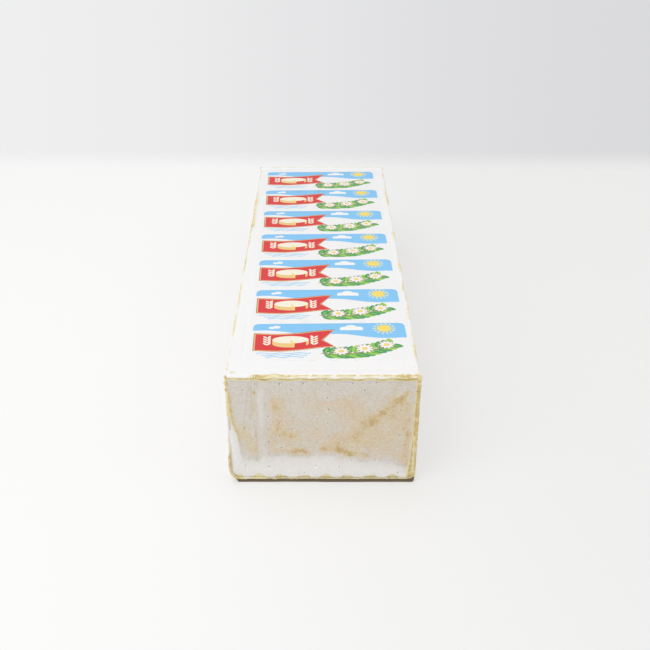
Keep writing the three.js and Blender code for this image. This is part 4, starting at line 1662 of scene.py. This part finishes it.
def studio_floor():
    mesh = bpy.data.meshes.new("studio_floor")
    left, right = -FLOOR_REACH, FLOOR_REACH
    near, far = -FLOOR_REACH, FLOOR_FAR
    corners = [(left, near, 0), (right, near, 0), (right, far, 0), (left, far, 0)]
    mesh.from_pydata(corners, [], [(0, 1, 2, 3)])
    material, tree, shader = new_material("studio floor")
    place = own_place(tree)
    parts = add_node(tree, "ShaderNodeSeparateXYZ", _0=place)
    solid = ramp_node(tree, parts.outputs["Y"], far - FLOOR_FADE, far, 1.0, 0.0)
    sideways = ramp_node(tree, parts.outputs["X"], -GLOW_SPREAD, GLOW_SPREAD)
    glow = mix_colour(tree, sideways, FLOOR_GLOW_LEFT, FLOOR_GLOW_RIGHT)
    fill(tree, shader, Base_Color=FLOOR_GREY, Roughness=0.6, Alpha=solid)
    fill(tree, shader, Emission_Color=glow, Emission_Strength=1.0)
    mesh.materials.append(material)
    floor = bpy.data.objects.new("studio_floor", mesh)
    bpy.context.scene.collection.objects.link(floor)


def area_light(name, place, aim, size, watts):
    lamp = bpy.data.lights.new(name, "AREA")
    lamp.shape = "RECTANGLE"
    lamp.size, lamp.size_y = size
    lamp.energy = watts
    light = bpy.data.objects.new(name, lamp)
    light.location = place
    light.rotation_euler = (Vector(aim) - Vector(place)).to_track_quat("-Z", "Y").to_euler()
    bpy.context.scene.collection.objects.link(light)


def soft_light():
    area_light("key softbox", (-0.6, -0.6, 0.8), (0, 0, 0), (0.9, 0.9), 3.3)
    area_light("overhead softbox", (-0.1, 0.1, 1.5), (0, 0, 0), (1.2, 1.6), 5.6)
    area_light("right fill", (0.9, -0.2, 0.45), (0, 0, 0.02), (0.8, 0.8), 0.8)
    world = bpy.data.worlds.new("pale room")
    bpy.context.scene.world = world
    world.use_nodes = True
    tree = world.node_tree
    tree.nodes.clear()
    way = add_node(tree, "ShaderNodeTexCoord").outputs["Generated"]
    parts = add_node(tree, "ShaderNodeSeparateXYZ", _0=way)
    sideways = ramp_node(tree, parts.outputs["X"], -WALL_SPREAD, WALL_SPREAD)
    wall = mix_colour(tree, sideways, WALL_LEFT, WALL_RIGHT)
    seen = add_node(tree, "ShaderNodeBackground", Color=wall, Strength=1.0)
    lit = add_node(tree, "ShaderNodeBackground", Color=(1, 1, 1, 1), Strength=ROOM_LIGHT)
    path = add_node(tree, "ShaderNodeLightPath")
    mixed = add_node(
        tree, "ShaderNodeMixShader", _0=path.outputs["Is Camera Ray"], _1=lit.outputs[0], _2=seen.outputs[0]
    )
    add_node(tree, "ShaderNodeOutputWorld", Surface=mixed.outputs[0])
    bpy.context.scene.view_settings.view_transform = "Standard"


# The camera that took the photograph, fitted to the log's corners in a frame of 650 by 650 pixels
IMAGE_PIXELS = 650
FOCAL_PIXELS = 932.35
SENSOR_WIDTH = 36.0
CAMERA_X = -1.335
CAMERA_AHEAD = 311.9
CAMERA_HEIGHT = 239.3
CAMERA_PITCH = math.radians(27.95)
CAMERA_YAW = math.radians(-0.385)
CAMERA_ROLL = math.radians(0.215)


def photo_camera():
    level_right = Vector((math.cos(CAMERA_YAW), math.sin(CAMERA_YAW), 0))
    level_ahead = Vector((-math.sin(CAMERA_YAW), math.cos(CAMERA_YAW), 0))
    above = Vector((0, 0, 1))
    ahead = level_ahead * math.cos(CAMERA_PITCH) - above * math.sin(CAMERA_PITCH)
    up = level_ahead * math.sin(CAMERA_PITCH) + above * math.cos(CAMERA_PITCH)
    right = level_right * math.cos(CAMERA_ROLL) + up * math.sin(CAMERA_ROLL)
    up = up * math.cos(CAMERA_ROLL) - level_right * math.sin(CAMERA_ROLL)
    lens = bpy.data.cameras.new("photo camera")
    lens.sensor_width = SENSOR_WIDTH
    lens.lens = FOCAL_PIXELS / IMAGE_PIXELS * SENSOR_WIDTH
    camera = bpy.data.objects.new("photo camera", lens)
    turn = Matrix((right, up, -ahead)).transposed().to_4x4()
    place = Vector((CAMERA_X, -HALF_LENGTH - CAMERA_AHEAD, CAMERA_HEIGHT)) * MM
    camera.matrix_world = Matrix.Translation(place) @ turn
    bpy.context.scene.collection.objects.link(camera)
    bpy.context.scene.camera = camera


studio_floor()
soft_light()
photo_camera()
